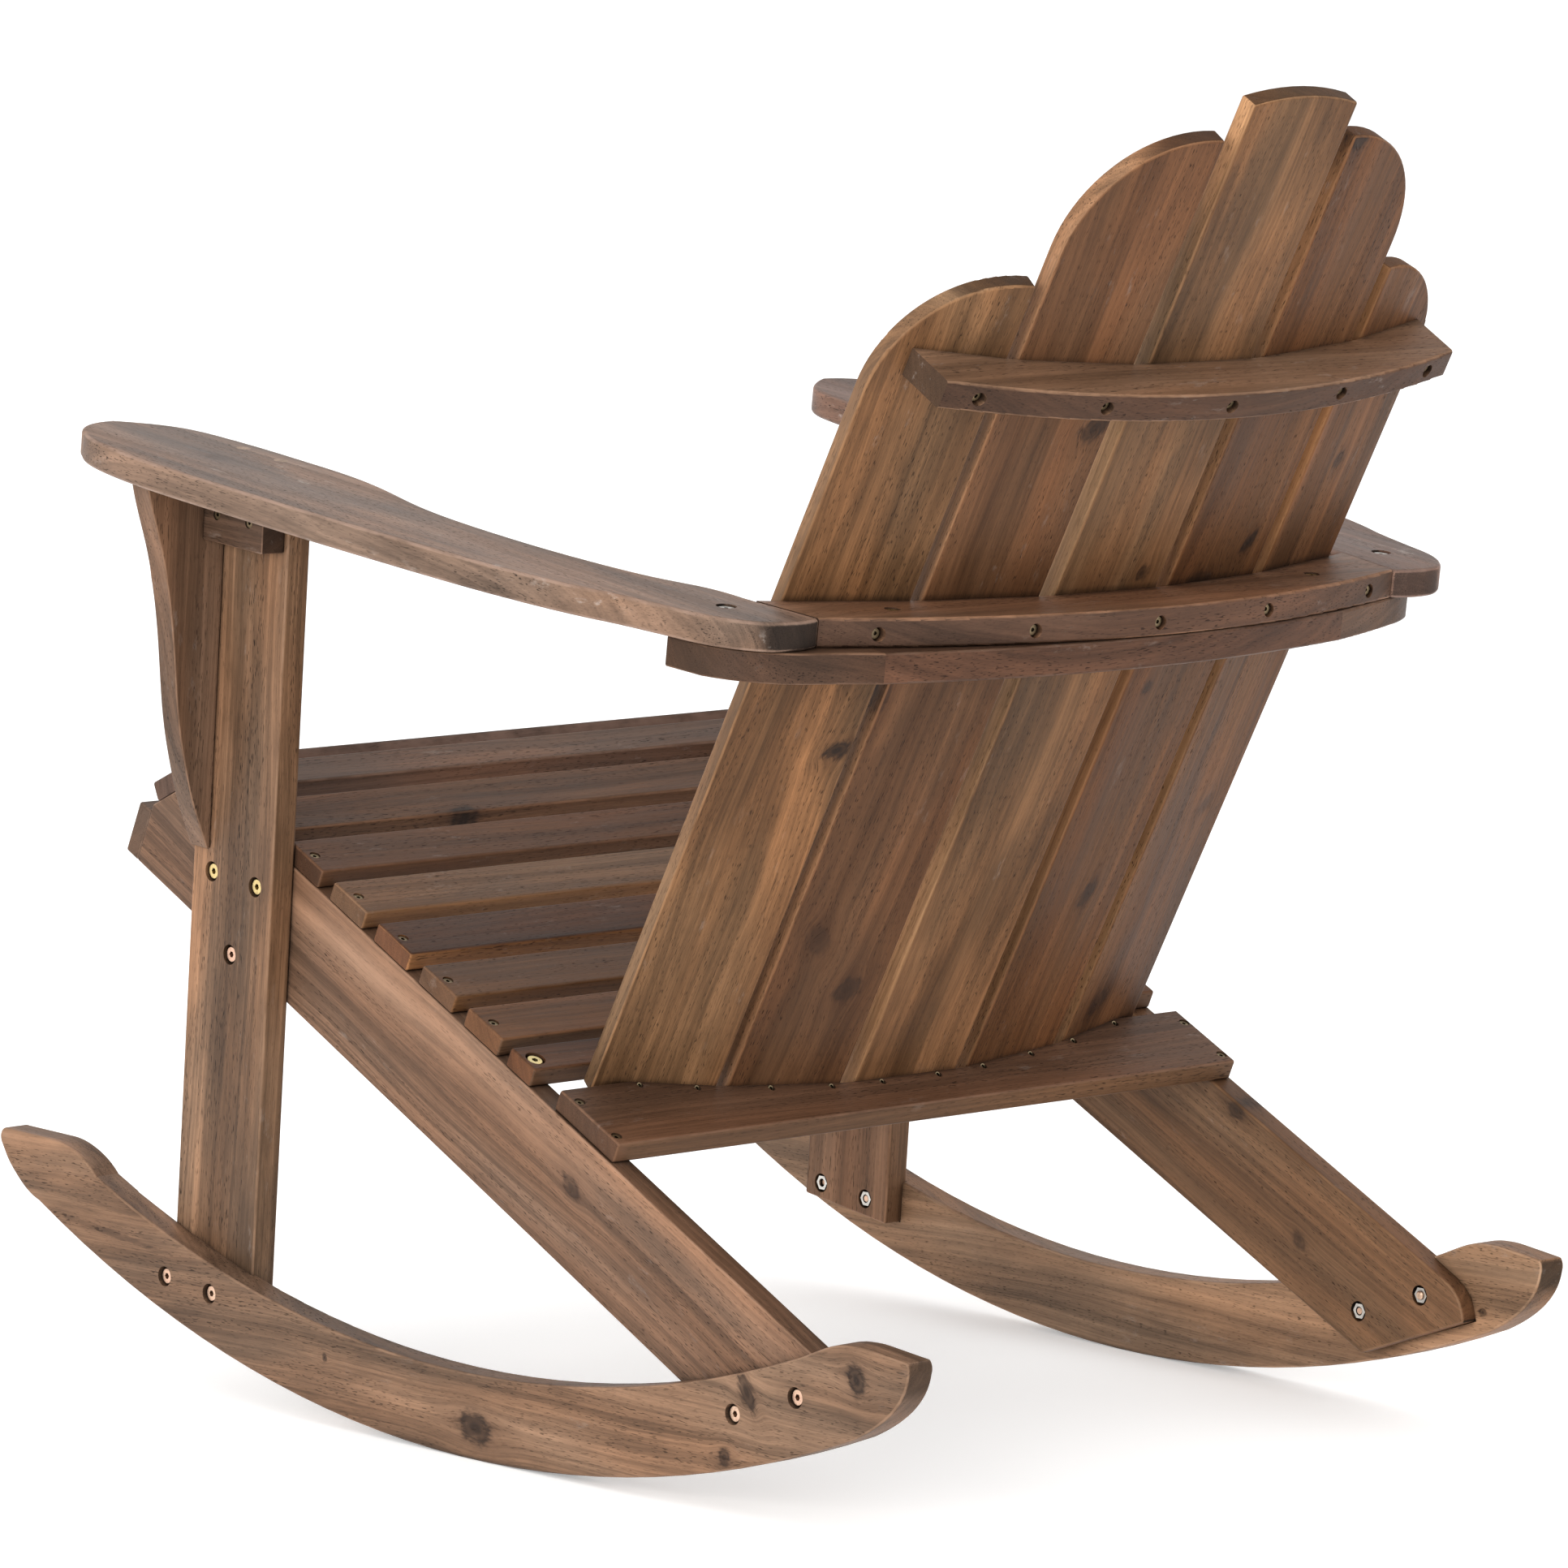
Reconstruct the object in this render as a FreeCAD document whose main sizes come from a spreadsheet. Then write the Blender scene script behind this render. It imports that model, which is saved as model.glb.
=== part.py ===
import FreeCAD, Part
import Sketcher
import math
import os
import sys
from FreeCAD import Placement, Rotation, Vector

# Rocking adirondack chair, millimetres, +Z up, the sitter looks along -Y and
# the sitter's left hand is at +X.  The boards are drawn in four frames:
#   chair frame  C : upright with the front legs; Y to the rear, Z up the legs
#   rail frame   S : lies on the top edge of the seat rails, Y down to the rear
#   back frame   B : runs up the back slats, Z towards the sitter
#   arm frame    A : lies on the top faces of the arms
# The chair leans back a few degrees on its rockers, and the finished set is
# moved so that the middle of its footprint is the origin.

os.makedirs("parts", exist_ok=True)
doc = FreeCAD.newDocument("rocking_chair")

# --------------------------------------------------------------------------
# driving dimensions
# --------------------------------------------------------------------------
sheet = doc.addObject("Spreadsheet::Sheet", "dims")
VALUE = {}
ROW = [1]
sheet.set("A1", "dimension")
sheet.set("B1", "value")
sheet.set("C1", "what it is")


class Q:
    """A number together with the expression that gives it in the sheet."""

    def __init__(self, v, e):
        self.v = float(v)
        self.e = e

    def __add__(self, o):
        o = quant(o)
        return Q(self.v + o.v, "(%s + %s)" % (self.e, o.e))

    def __sub__(self, o):
        o = quant(o)
        return Q(self.v - o.v, "(%s - %s)" % (self.e, o.e))

    def __mul__(self, o):
        o = quant(o)
        return Q(self.v * o.v, "(%s * %s)" % (self.e, o.e))

    def __truediv__(self, o):
        o = quant(o)
        return Q(self.v / o.v, "(%s / %s)" % (self.e, o.e))

    def __neg__(self):
        return Q(-self.v, "(0 - %s)" % self.e)

    __radd__ = __add__
    __rmul__ = __mul__

    def __rsub__(self, o):
        return quant(o) - self


def quant(x):
    if isinstance(x, Q):
        return x
    return Q(float(x), "%.6g" % float(x) if x >= 0 else "(0 - %.6g)" % -float(x))


def dim(alias, value, note=""):
    ROW[0] += 1
    r = ROW[0]
    sheet.set("A%d" % r, alias)
    sheet.set("B%d" % r, "%.6g" % value)
    sheet.setAlias("B%d" % r, alias)
    if note:
        sheet.set("C%d" % r, note)
    VALUE[alias] = float(value)


def d(alias):
    return Q(VALUE[alias], "dims." + alias)


dim("lean_back", 5.2857, "angle of the legs from the vertical, degrees")
dim("rail_slope", 20.185, "fall of the seat rails to the rear, degrees, chair frame")
dim("rail_org_y", -515.2, "origin of the rail frame, chair frame")
dim("rail_org_z", 503.5, "origin of the rail frame, chair frame")
dim("back_slope", 65.386, "rise of the back slats, degrees, chair frame")
dim("arm_slope", 2.45, "fall of the arms to the rear, degrees")
dim("arm_org_z", 648.8, "height of the arm plane over the chair origin")
dim("edge_r", 2.0, "sanded edge of the boards")
dim("edge_small", 1.2, "sanded edge of small boards")
dim("arm_edge_r", 3.0, "sanded edge of the arms")

dim("rail_thick", 19.0, "seat rail thickness")
dim("rail_outer_x", 279.0, "outer face of the seat rails from the middle plane")
dim("rail_depth", 89.5, "seat rail depth")
dim("leg_thick", 19.0, "front leg thickness")
dim("leg_width", 90.0, "front leg width")
dim("leg_front_y", -270.0, "front edge of the legs, chair frame")
dim("leg_foot_front", 70.5, "foot of the leg at its front edge, chair frame")
dim("leg_foot_rear", 66.5, "foot of the leg at its rear edge, chair frame")

dim("rocker_thick", 21.5, "rocker thickness")
dim("rocker_toe", 2.05, "toe-in of each rocker, degrees")
dim("rocker_in_x", 295.8, "inner face of the rocker at its pivot line")
dim("rocker_pivot_y", -217.6, "where the rocker's inner face has that distance")
dim("rocker_r", 1031.0, "radius of the rocker's running edge")
dim("rocker_c_y", 84.4, "centre of the running edge")
dim("rocker_c_z", 1055.8, "centre of the running edge")
dim("rocker_top_r", 991.6, "radius of the rocker's top edge")
dim("rocker_top_c_y", 73.3, "centre of the top edge")
dim("rocker_top_c_z", 1074.1, "centre of the top edge")

dim("slat_thick", 14.0, "back slat thickness")
dim("slat_width", 90.5, "back slat width")
dim("slat_pitch", 99.0, "spacing of the back slats")
dim("slat_foot", 298.0, "lower end of the back slats, back frame")
dim("slat_top_outer", 938.8, "top of the outer slats, back frame")
dim("slat_top_inner", 1051.6, "top of the second slats, back frame")
dim("slat_top_mid", 1077.5, "corner height of the middle slat, back frame")
dim("slat_crown", 6.0, "rise of the middle slat's top")
dim("back_depth", 18.0, "rear face of the middle slat, back frame")
dim("back_curve", 730.0, "radius of the hollow of the back")

dim("seat_width", 557.0, "length of the seat slats")
dim("seat_thick", 14.0, "seat slat thickness")
dim("seat_slat_w", 40.0, "seat slat width")
dim("seat_pitch", 53.9, "spacing of the seat slats")
dim("seat_start", 290.5, "front edge of the second seat slat, rail frame")
dim("first_slat_s", 243.5, "front edge of the first seat slat, rail frame")
dim("first_slat_w", 30.0, "width of the narrow first seat slat")
dim("rear_rail_s", 610.2, "front edge of the rear seat rail, rail frame")
dim("rear_rail_w", 28.0, "width of the rear seat rail")
dim("bottom_rail_s", 731.6, "rear edge of the bottom back rail, rail frame")
dim("bottom_rail_w", 66.0, "width of the bottom back rail")
dim("bottom_rail_t", 15.0, "thickness of the bottom back rail")
dim("nose_w", 54.0, "width of the nose slat")
dim("apron_t", 14.5, "apron thickness")
dim("apron_w", 39.5, "apron depth")

dim("arm_thick", 19.5, "arm thickness")
dim("support_thick", 20.5, "arm support rail thickness")
dim("rail_back_curve", 780.0, "radius of the middle rail's rear edge")
dim("mid_rail_y", 360.0, "rear edge of the middle rail at the middle plane")
dim("support_y", 361.0, "rear edge of the support rail at the middle plane")
dim("top_rail_s", 865.0, "underside of the top rail, back frame")
dim("top_rail_t", 20.0, "thickness of the top rail")
dim("top_rail_n", 55.0, "rear edge of the top rail at the middle plane")
dim("top_rail_half", 222.0, "half length of the top rail")
dim("bracket_t", 19.0, "arm bracket thickness")
dim("cleat_t", 19.0, "arm cleat thickness")
dim("cleat_z", 598.0, "underside of the cleat, chair frame")

dim("bolt_shank", 6.0, "barrel of the bolts")
dim("bolt_head", 11.6, "head of the bolts")
dim("bolt_head_h", 4.5, "head height of the bolts")
dim("bolt_long", 34.0, "bolt length over the head")
dim("bolt_socket", 4.0, "hexagon socket of the bolts, across flats")
dim("bolt_hole", 6.4, "clearance hole")
dim("bolt_cbore", 14.0, "counterbore for a head or a nut")
dim("nut_flats", 10.0, "nut across flats")
dim("nut_h", 5.0, "nut height")
dim("screw_head", 7.0, "head of the wood screws")
dim("screw_shank", 3.2, "barrel of the wood screws")
dim("screw_hole", 3.4, "hole for a wood screw")
dim("screw_cbore", 7.6, "counterbore for a wood screw")
dim("plug_d", 10.0, "wooden plug diameter")
dim("plug_h", 6.0, "wooden plug height")
sheet.recompute()

# --------------------------------------------------------------------------
# frames
# --------------------------------------------------------------------------
X1, Y1, Z1 = Vector(1, 0, 0), Vector(0, 1, 0), Vector(0, 0, 1)
F_W = Placement()
F_C = Placement(Vector(), Rotation(X1, -VALUE["lean_back"]))
F_S = F_C.multiply(Placement(Vector(0, VALUE["rail_org_y"], VALUE["rail_org_z"]),
                             Rotation(X1, -VALUE["rail_slope"])))
F_B = F_C.multiply(Placement(Vector(), Rotation(X1, VALUE["back_slope"])))
F_A = F_C.multiply(Placement(Vector(0, 0, VALUE["arm_org_z"]), Rotation(X1, -VALUE["arm_slope"])))

BASES = {
    "XY_Plane": Placement(),
    "XZ_Plane": Placement(Vector(), Rotation(X1, Z1, Y1.negative(), "ZXY")),
    "YZ_Plane": Placement(Vector(), Rotation(Y1, Z1, X1, "ZXY")),
}
NODES = []          # (name, object) of every sub-part that is written
FRAME = {}          # body name -> frame


def new_body(name, frame):
    b = doc.addObject("PartDesign::Body", name)
    b.Label = name
    b.Placement = frame
    FRAME[b.Name] = frame
    NODES.append((name, b))
    return b


def plane_of(body, role):
    for f in body.Origin.OriginFeatures:
        if f.Role == role:
            return f
    raise RuntimeError("no plane " + role)


def sketch_on(body, name, frame, at, xdir, ydir):
    """A sketch whose plane is given in any frame."""
    own = FRAME[body.Name]
    want = Placement(at, Rotation(xdir, ydir, xdir.cross(ydir), "ZXY"))
    local = own.inverse().multiply(frame).multiply(want)
    nz = local.Rotation.multVec(Z1)
    role = "XY_Plane"
    if abs(nz.x) > 0.999999:
        role = "YZ_Plane"
    elif abs(nz.y) > 0.999999:
        role = "XZ_Plane"
    sk = body.newObject("Sketcher::SketchObject", name)
    sk.AttachmentSupport = [(plane_of(body, role), "")]
    sk.MapMode = "FlatFace"
    sk.AttachmentOffset = BASES[role].inverse().multiply(local)
    return sk


# --------------------------------------------------------------------------
# outlines
# --------------------------------------------------------------------------
def cells(tag, pts, note=""):
    """Puts a list of measured points into the sheet."""
    out = []
    for i, (x, y) in enumerate(pts):
        dim("%s_x%d" % (tag, i), x, note if i == 0 else "")
        dim("%s_y%d" % (tag, i), y)
        out.append((d("%s_x%d" % (tag, i)), d("%s_y%d" % (tag, i))))
    return out


def tie(con, exprs, geo, pos, axis, q):
    """Fixes one coordinate of a sketch point to a value of the sheet."""
    kind = "DistanceX" if axis == 0 else "DistanceY"
    q = quant(q)
    if abs(q.v) < 1e-9:
        con.append(Sketcher.Constraint("PointOnObject", geo, pos, -2 if axis == 0 else -1))
        return
    if q.v > 0:
        con.append(Sketcher.Constraint(kind, -1, 1, geo, pos, q.v))
        exprs.append((len(con) - 1, q.e))
    else:
        con.append(Sketcher.Constraint(kind, geo, pos, -1, 1, -q.v))
        exprs.append((len(con) - 1, (-q).e))


def circle3(a, m, b):
    ax, ay, bx, by, cx, cy = a.x, a.y, m.x, m.y, b.x, b.y
    k = 2 * (ax * (by - cy) + bx * (cy - ay) + cx * (ay - by))
    ux = ((ax * ax + ay * ay) * (by - cy) + (bx * bx + by * by) * (cy - ay)
          + (cx * cx + cy * cy) * (ay - by)) / k
    uy = ((ax * ax + ay * ay) * (cx - bx) + (bx * bx + by * by) * (ax - cx)
          + (cx * cx + cy * cy) * (bx - ax)) / k
    return Vector(ux, uy, 0)


def outline(sk, start, segs, mirror=1):
    """Closed chain.  A segment is ("L", point), ("A", (x, y) on the arc, point)
    or ("S", [points between], point).  mirror = -1 turns x to -x."""

    def mx(p):
        return (quant(p[0]) * mirror if mirror == 1 else -quant(p[0]), quant(p[1]))

    def vec(p):
        return Vector(quant(p[0]).v, quant(p[1]).v, 0)

    con, exprs = [], []
    prev = mx(start)
    ends = []          # (geo, pos at start, pos at end)
    knots = []         # start point of every segment
    for i, sg in enumerate(segs):
        to = mx(sg[-1]) if sg[-1] is not None else mx(start)
        a, b = vec(prev), vec(to)
        if sg[0] == "L":
            g = sk.addGeometry(Part.LineSegment(a, b), False)
            ends.append((g, 1, 2))
        elif sg[0] == "A":
            m = Vector(float(sg[1][0]) * mirror, float(sg[1][1]), 0)
            c = circle3(a, m, b)
            r = (a - c).Length
            turn = (m - a).cross(b - m).z
            a0 = math.atan2(a.y - c.y, a.x - c.x)
            a1 = math.atan2(b.y - c.y, b.x - c.x)
            circ = Part.Circle(c, Z1, r)
            if turn > 0:
                if a1 < a0:
                    a1 += 2 * math.pi
                g = sk.addGeometry(Part.ArcOfCircle(circ, a0, a1), False)
                ends.append((g, 1, 2))
            else:
                if a0 < a1:
                    a0 += 2 * math.pi
                g = sk.addGeometry(Part.ArcOfCircle(circ, a1, a0), False)
                ends.append((g, 2, 1))
            if len(sg) > 3 and sg[2] is not None:
                con.append(Sketcher.Constraint("Radius", g, sg[2].v))
                exprs.append((len(con) - 1, sg[2].e))
            else:
                con.append(Sketcher.Constraint("Radius", g, r))
        else:
            pts = [a] + [Vector(float(q[0]) * mirror, float(q[1]), 0) for q in sg[1]] + [b]
            bs = Part.BSplineCurve()
            bs.interpolate(pts)
            g = sk.addGeometry(bs, False)
            ends.append((g, 1, 2))
        knots.append(prev)
        prev = to
    n = len(ends)
    for i in range(n):
        g, s, e = ends[i]
        g2, s2, e2 = ends[(i + 1) % n]
        con.append(Sketcher.Constraint("Coincident", g, e, g2, s2))
        tie(con, exprs, g, s, 0, knots[i][0])
        tie(con, exprs, g, s, 1, knots[i][1])
    base = sk.ConstraintCount
    sk.addConstraint(con)
    for k, ex in exprs:
        sk.setExpression("Constraints[%d]" % (base + k), ex)


def rect(sk, x0, y0, x1, y1):
    outline(sk, (x0, y0), [("L", (x1, y0)), ("L", (x1, y1)), ("L", (x0, y1)), ("L", None)])


def pad(body, sk, length, reverse=False, name=None):
    p = body.newObject("PartDesign::Pad", name or (sk.Name + "_pad"))
    p.Profile = sk
    p.Length = quant(length).v
    p.setExpression("Length", quant(length).e)
    p.Reversed = reverse
    body.Tip = p
    sk.Visibility = False
    doc.recompute()
    return p


def pocket(body, sk, depth=None, name=None, both=False):
    """Cuts against the sketch normal, by a depth or through all."""
    before = body.Tip.Shape.Volume
    p = body.newObject("PartDesign::Pocket", name or (sk.Name + "_cut"))
    p.Profile = sk
    if depth is None:
        p.Type = "ThroughAll"
    else:
        p.Length = quant(depth).v
        p.setExpression("Length", quant(depth).e)
    if both:
        p.Midplane = True
    body.Tip = p
    sk.Visibility = False
    doc.recompute()
    after = p.Shape.Volume
    if not after < before - 1e-3:
        raise RuntimeError("%s in %s cuts nothing" % (p.Name, body.Label))
    return p


def soften(body, alias, pick=None):
    """Sands the edges of a board; pick(edge) chooses them in the body's frame."""
    tip = body.Tip
    shape = tip.Shape
    names = []
    for i, e in enumerate(shape.Edges):
        if pick is None or pick(e):
            names.append("Edge%d" % (i + 1))
    vol = shape.Volume
    for k in (1.0, 0.75, 0.5, 0.3):
        f = body.newObject("PartDesign::Fillet", body.Name + "_edges")
        f.Base = (tip, names)
        f.Radius = VALUE[alias] * k
        f.setExpression("Radius", "dims.%s * %g" % (alias, k))
        body.Tip = f
        doc.recompute()
        ok = f.isValid() and not f.Shape.isNull() and f.Shape.isValid() and len(f.Shape.Solids) == 1
        if ok and 0.9 * vol < f.Shape.Volume <= vol:
            if k != 1.0:
                print("note: %s edges at %.2f of the radius" % (body.Label, k))
            return f
        body.removeObject(f)
        doc.removeObject(f.Name)
        body.Tip = tip
        doc.recompute()
    print("note: %s keeps sharp edges" % body.Label)
    return None


def perp(v):
    a = X1 if abs(v.x) < 0.9 else Y1
    u = a - v * a.dot(v)
    u.normalize()
    return u


def bore(body, frame, pts, direction, dia, depth, name):
    """Round holes from points in one plane, cutting along a direction."""
    z = Vector(direction)
    z.normalize()
    nrm = z.negative()
    xd = perp(nrm)
    yd = nrm.cross(xd)
    sk = sketch_on(body, name, frame, pts[0], xd, yd)
    con, exprs = [], []
    for p in pts:
        r = p - pts[0]
        cx, cy = r.dot(xd), r.dot(yd)
        g = sk.addGeometry(Part.Circle(Vector(cx, cy, 0), Z1, quant(dia).v / 2), False)
        con.append(Sketcher.Constraint("Diameter", g, quant(dia).v))
        exprs.append((len(con) - 1, quant(dia).e))
        for ax, val in ((0, cx), (1, cy)):
            if abs(val) < 1e-9:
                con.append(Sketcher.Constraint("PointOnObject", g, 3, -2 if ax == 0 else -1))
            else:
                kind = "DistanceX" if ax == 0 else "DistanceY"
                if val > 0:
                    con.append(Sketcher.Constraint(kind, -1, 1, g, 3, val))
                else:
                    con.append(Sketcher.Constraint(kind, g, 3, -1, 1, -val))
    sk.addConstraint(con)
    for k, ex in exprs:
        sk.setExpression("Constraints[%d]" % k, ex)
    return pocket(body, sk, depth)


def shave(body, frame, at, away, name):
    """Removes what lies beyond a plane; away points into the waste."""
    away = Vector(away)
    away.normalize()
    nrm = away.negative()
    xd = perp(nrm)
    yd = nrm.cross(xd)
    sk = sketch_on(body, name, frame, at, xd, yd)
    rect(sk, -1500, -1500, 1500, 1500)
    return pocket(body, sk, None)


# --------------------------------------------------------------------------
# the hollow of the back: the rear faces of the five slats
# --------------------------------------------------------------------------
def hollow(x):
    """Back-frame depth of the slats' rear faces behind the frame's zero."""
    return VALUE["back_depth"] - x * x / (2 * VALUE["back_curve"])


SLAT_X = [199.5, 103.0, 1.2, -99.6, -198.6]
half = VALUE["slat_width"] / 2
CHORD = []
for xc in sorted(SLAT_X):
    CHORD += [xc - half, xc + half]


def hollow_cut(body, reach, name):
    """Shapes a board's front edge to the slats: flats where they bear."""
    xs = [-reach] + CHORD + [reach] if reach > CHORD[-1] else list(CHORD)
    pts = [(x, -hollow(x)) for x in xs]
    pts = [(xs[0] - 60, pts[0][1])] + pts + [(xs[-1] + 60, pts[-1][1])]
    # the sketch looks down the slats: x is X, y is the front direction
    sk = sketch_on(body, name, F_B, Vector(0, 100, 0), X1.negative(), Z1)
    P = [(-x, y) for x, y in pts]
    segs = [("L", P[i]) for i in range(1, len(P))]
    segs += [("L", (P[-1][0], 260.0)), ("L", (P[0][0], 260.0)), ("L", None)]
    outline(sk, P[0], segs)
    # normal of this plane is (-X) x Z = +Y up the slats, the cut must go up
    before = body.Tip.Shape.Volume
    p = body.newObject("PartDesign::Pocket", name + "_cut")
    p.Profile = sk
    p.Type = "ThroughAll"
    p.Reversed = True
    body.Tip = p
    doc.recompute()
    if not p.Shape.Volume < before - 1:
        raise RuntimeError(name + " cuts nothing")
    sk.Visibility = False
    return p


# --------------------------------------------------------------------------
# fasteners: one pattern piece each, linked to its places
# --------------------------------------------------------------------------
SPOTS = {}


def spot(kind, frame, at, out):
    """Remembers a fastener: at is the top of its head, out points away."""
    z = Vector(out)
    z.normalize()
    xd = perp(z)
    yd = z.cross(xd)
    SPOTS.setdefault(kind, []).append(
        frame.multiply(Placement(at, Rotation(xd, yd, z, "ZXY"))))


def to_frame(dst, src, p):
    return dst.inverse().multiply(src).multVec(p)


def fastener_pattern(name, profile, socket=None, socket_depth=2.4):
    """Turned piece on +Z with its head's top at zero."""
    b = doc.addObject("PartDesign::Body", name)
    b.Label = name
    FRAME[b.Name] = Placement()
    sk = sketch_on(b, name + "_profile", F_W, Vector(), X1, Z1)
    outline(sk, profile[0], [("L", p) for p in profile[1:]] + [("L", None)])
    rv = b.newObject("PartDesign::Revolution", name + "_turn")
    rv.Profile = sk
    rv.ReferenceAxis = (sk, ["V_Axis"])
    rv.Angle = 360
    b.Tip = rv
    doc.recompute()
    if socket is not None:
        sk2 = sketch_on(b, name + "_socket", F_W, Vector(), X1, Y1)
        r = quant(socket) / (2 * math.cos(math.pi / 6))
        pts = [(r * math.cos(i * math.pi / 3), r * math.sin(i * math.pi / 3)) for i in range(6)]
        pts = [(p[0] if abs(p[0].v) > 1e-9 else 0.0, p[1] if abs(p[1].v) > 1e-9 else 0.0) for p in pts]
        outline(sk2, pts[0], [("L", p) for p in pts[1:]] + [("L", None)])
        pocket(b, sk2, socket_depth)
    return b


def group(name, kind, base):
    links = []
    for i, pl in enumerate(SPOTS[kind]):
        ln = doc.addObject("App::Link", "%s_%d" % (name, i + 1))
        ln.LinkedObject = base
        ln.LinkTransform = False
        ln.Placement = pl
        links.append(ln)
    c = doc.addObject("Part::Compound", name)
    c.Label = name
    c.Links = links
    doc.recompute()
    NODES.append((name, c))
    return c


# ==========================================================================
# seat rails
# ==========================================================================
RAIL = cells("rail", [(236.0, 0.0), (985.0, 0.0), (1012.0, -16.0), (938.6, -89.5),
                      (197.5, -89.5), (197.5, -44.4)], "seat rail outline, rail frame")
sheet.recompute()
LEG_BOLTS = [Vector(298, -248.0, 366.5), Vector(298, -198.5, 365.0), Vector(298, -223.4, 313.0)]
ROCK_FRONT = [Vector(0, -253.0, 81.5), Vector(0, -203.5, 80.5)]
ROCK_REAR = [Vector(0, 330.0, 124.0), Vector(0, 387.0, 148.5)]
rin = VALUE["rail_outer_x"] - VALUE["rail_thick"]
rout = VALUE["rail_outer_x"]
legout = rout + VALUE["leg_thick"]


def side_board(name, frame, x_in, thick, start, segs, sgn):
    """Edge-on board: outline in Y-Z, thickness outwards from x_in."""
    b = new_body(name, frame)
    sk = sketch_on(b, name + "_outline", frame, Vector(sgn * quant(x_in).v, 0, 0), Y1, Z1)
    sk.setExpression("AttachmentOffset.Base.z", "%s%s" % ("" if sgn > 0 else "0 - ", quant(x_in).e))
    outline(sk, start, segs)
    pad(b, sk, thick, reverse=(sgn < 0))
    return b


def rocker_in(yw):
    """Distance of the rocker's inner face from the middle plane, at world Y."""
    return VALUE["rocker_in_x"] - math.tan(math.radians(VALUE["rocker_toe"])) * (yw - VALUE["rocker_pivot_y"])


def rocker_out(yw):
    return rocker_in(yw) + VALUE["rocker_thick"] / math.cos(math.radians(VALUE["rocker_toe"]))


SEAT_S = [VALUE["first_slat_s"] + VALUE["first_slat_w"] / 2] + [
    VALUE["seat_start"] + i * VALUE["seat_pitch"] + VALUE["seat_slat_w"] / 2 for i in range(6)]

for side, sgn in (("left", 1), ("right", -1)):
    b = side_board("seat_rail_" + side, F_S, d("rail_outer_x") - d("rail_thick"), d("rail_thick"),
                   RAIL[0], [("L", RAIL[1]), ("A", (1003.0, -5.6), RAIL[2]), ("L", RAIL[3]),
                             ("L", RAIL[4]), ("L", RAIL[5]), ("L", None)], sgn)
    soften(b, "edge_r")
    # leg bolts come through to nuts let into the inner face
    pts = [Vector(sgn * rout, p.y, p.z) for p in LEG_BOLTS]
    bore(b, F_C, pts, Vector(-sgn, 0, 0), d("bolt_hole"), d("rail_thick") + 1, "leg_bolt_holes")
    pts = [Vector(sgn * rin, p.y, p.z) for p in LEG_BOLTS]
    bore(b, F_C, pts, Vector(sgn, 0, 0), d("bolt_cbore"), 6.0, "leg_nut_seats")
    pts = [Vector(sgn * (rout + 1), p.y, p.z) for p in ROCK_REAR]
    bore(b, F_C, pts, Vector(-sgn, 0, 0), d("bolt_hole"), d("rail_thick") + 2, "rocker_bolt_holes")
    pts = [Vector(sgn * rin, p.y, p.z) for p in ROCK_REAR]
    bore(b, F_C, pts, Vector(sgn, 0, 0), d("bolt_cbore"), 6.0, "rocker_nut_seats")
    # screws of the seat slats, rear rail and bottom rail
    pts = [Vector(sgn * 271.0, s, 0) for s in SEAT_S + [680.0, 722.0]]
    bore(b, F_S, pts, Vector(0, 0, -1), d("screw_hole"), 24.0, "slat_screw_holes")
    pts = [Vector(sgn * 268.5, 625.5, 0)]
    bore(b, F_S, pts, Vector(0, 0, -1), d("bolt_hole"), 24.0, "rear_rail_bolt_hole")

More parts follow.
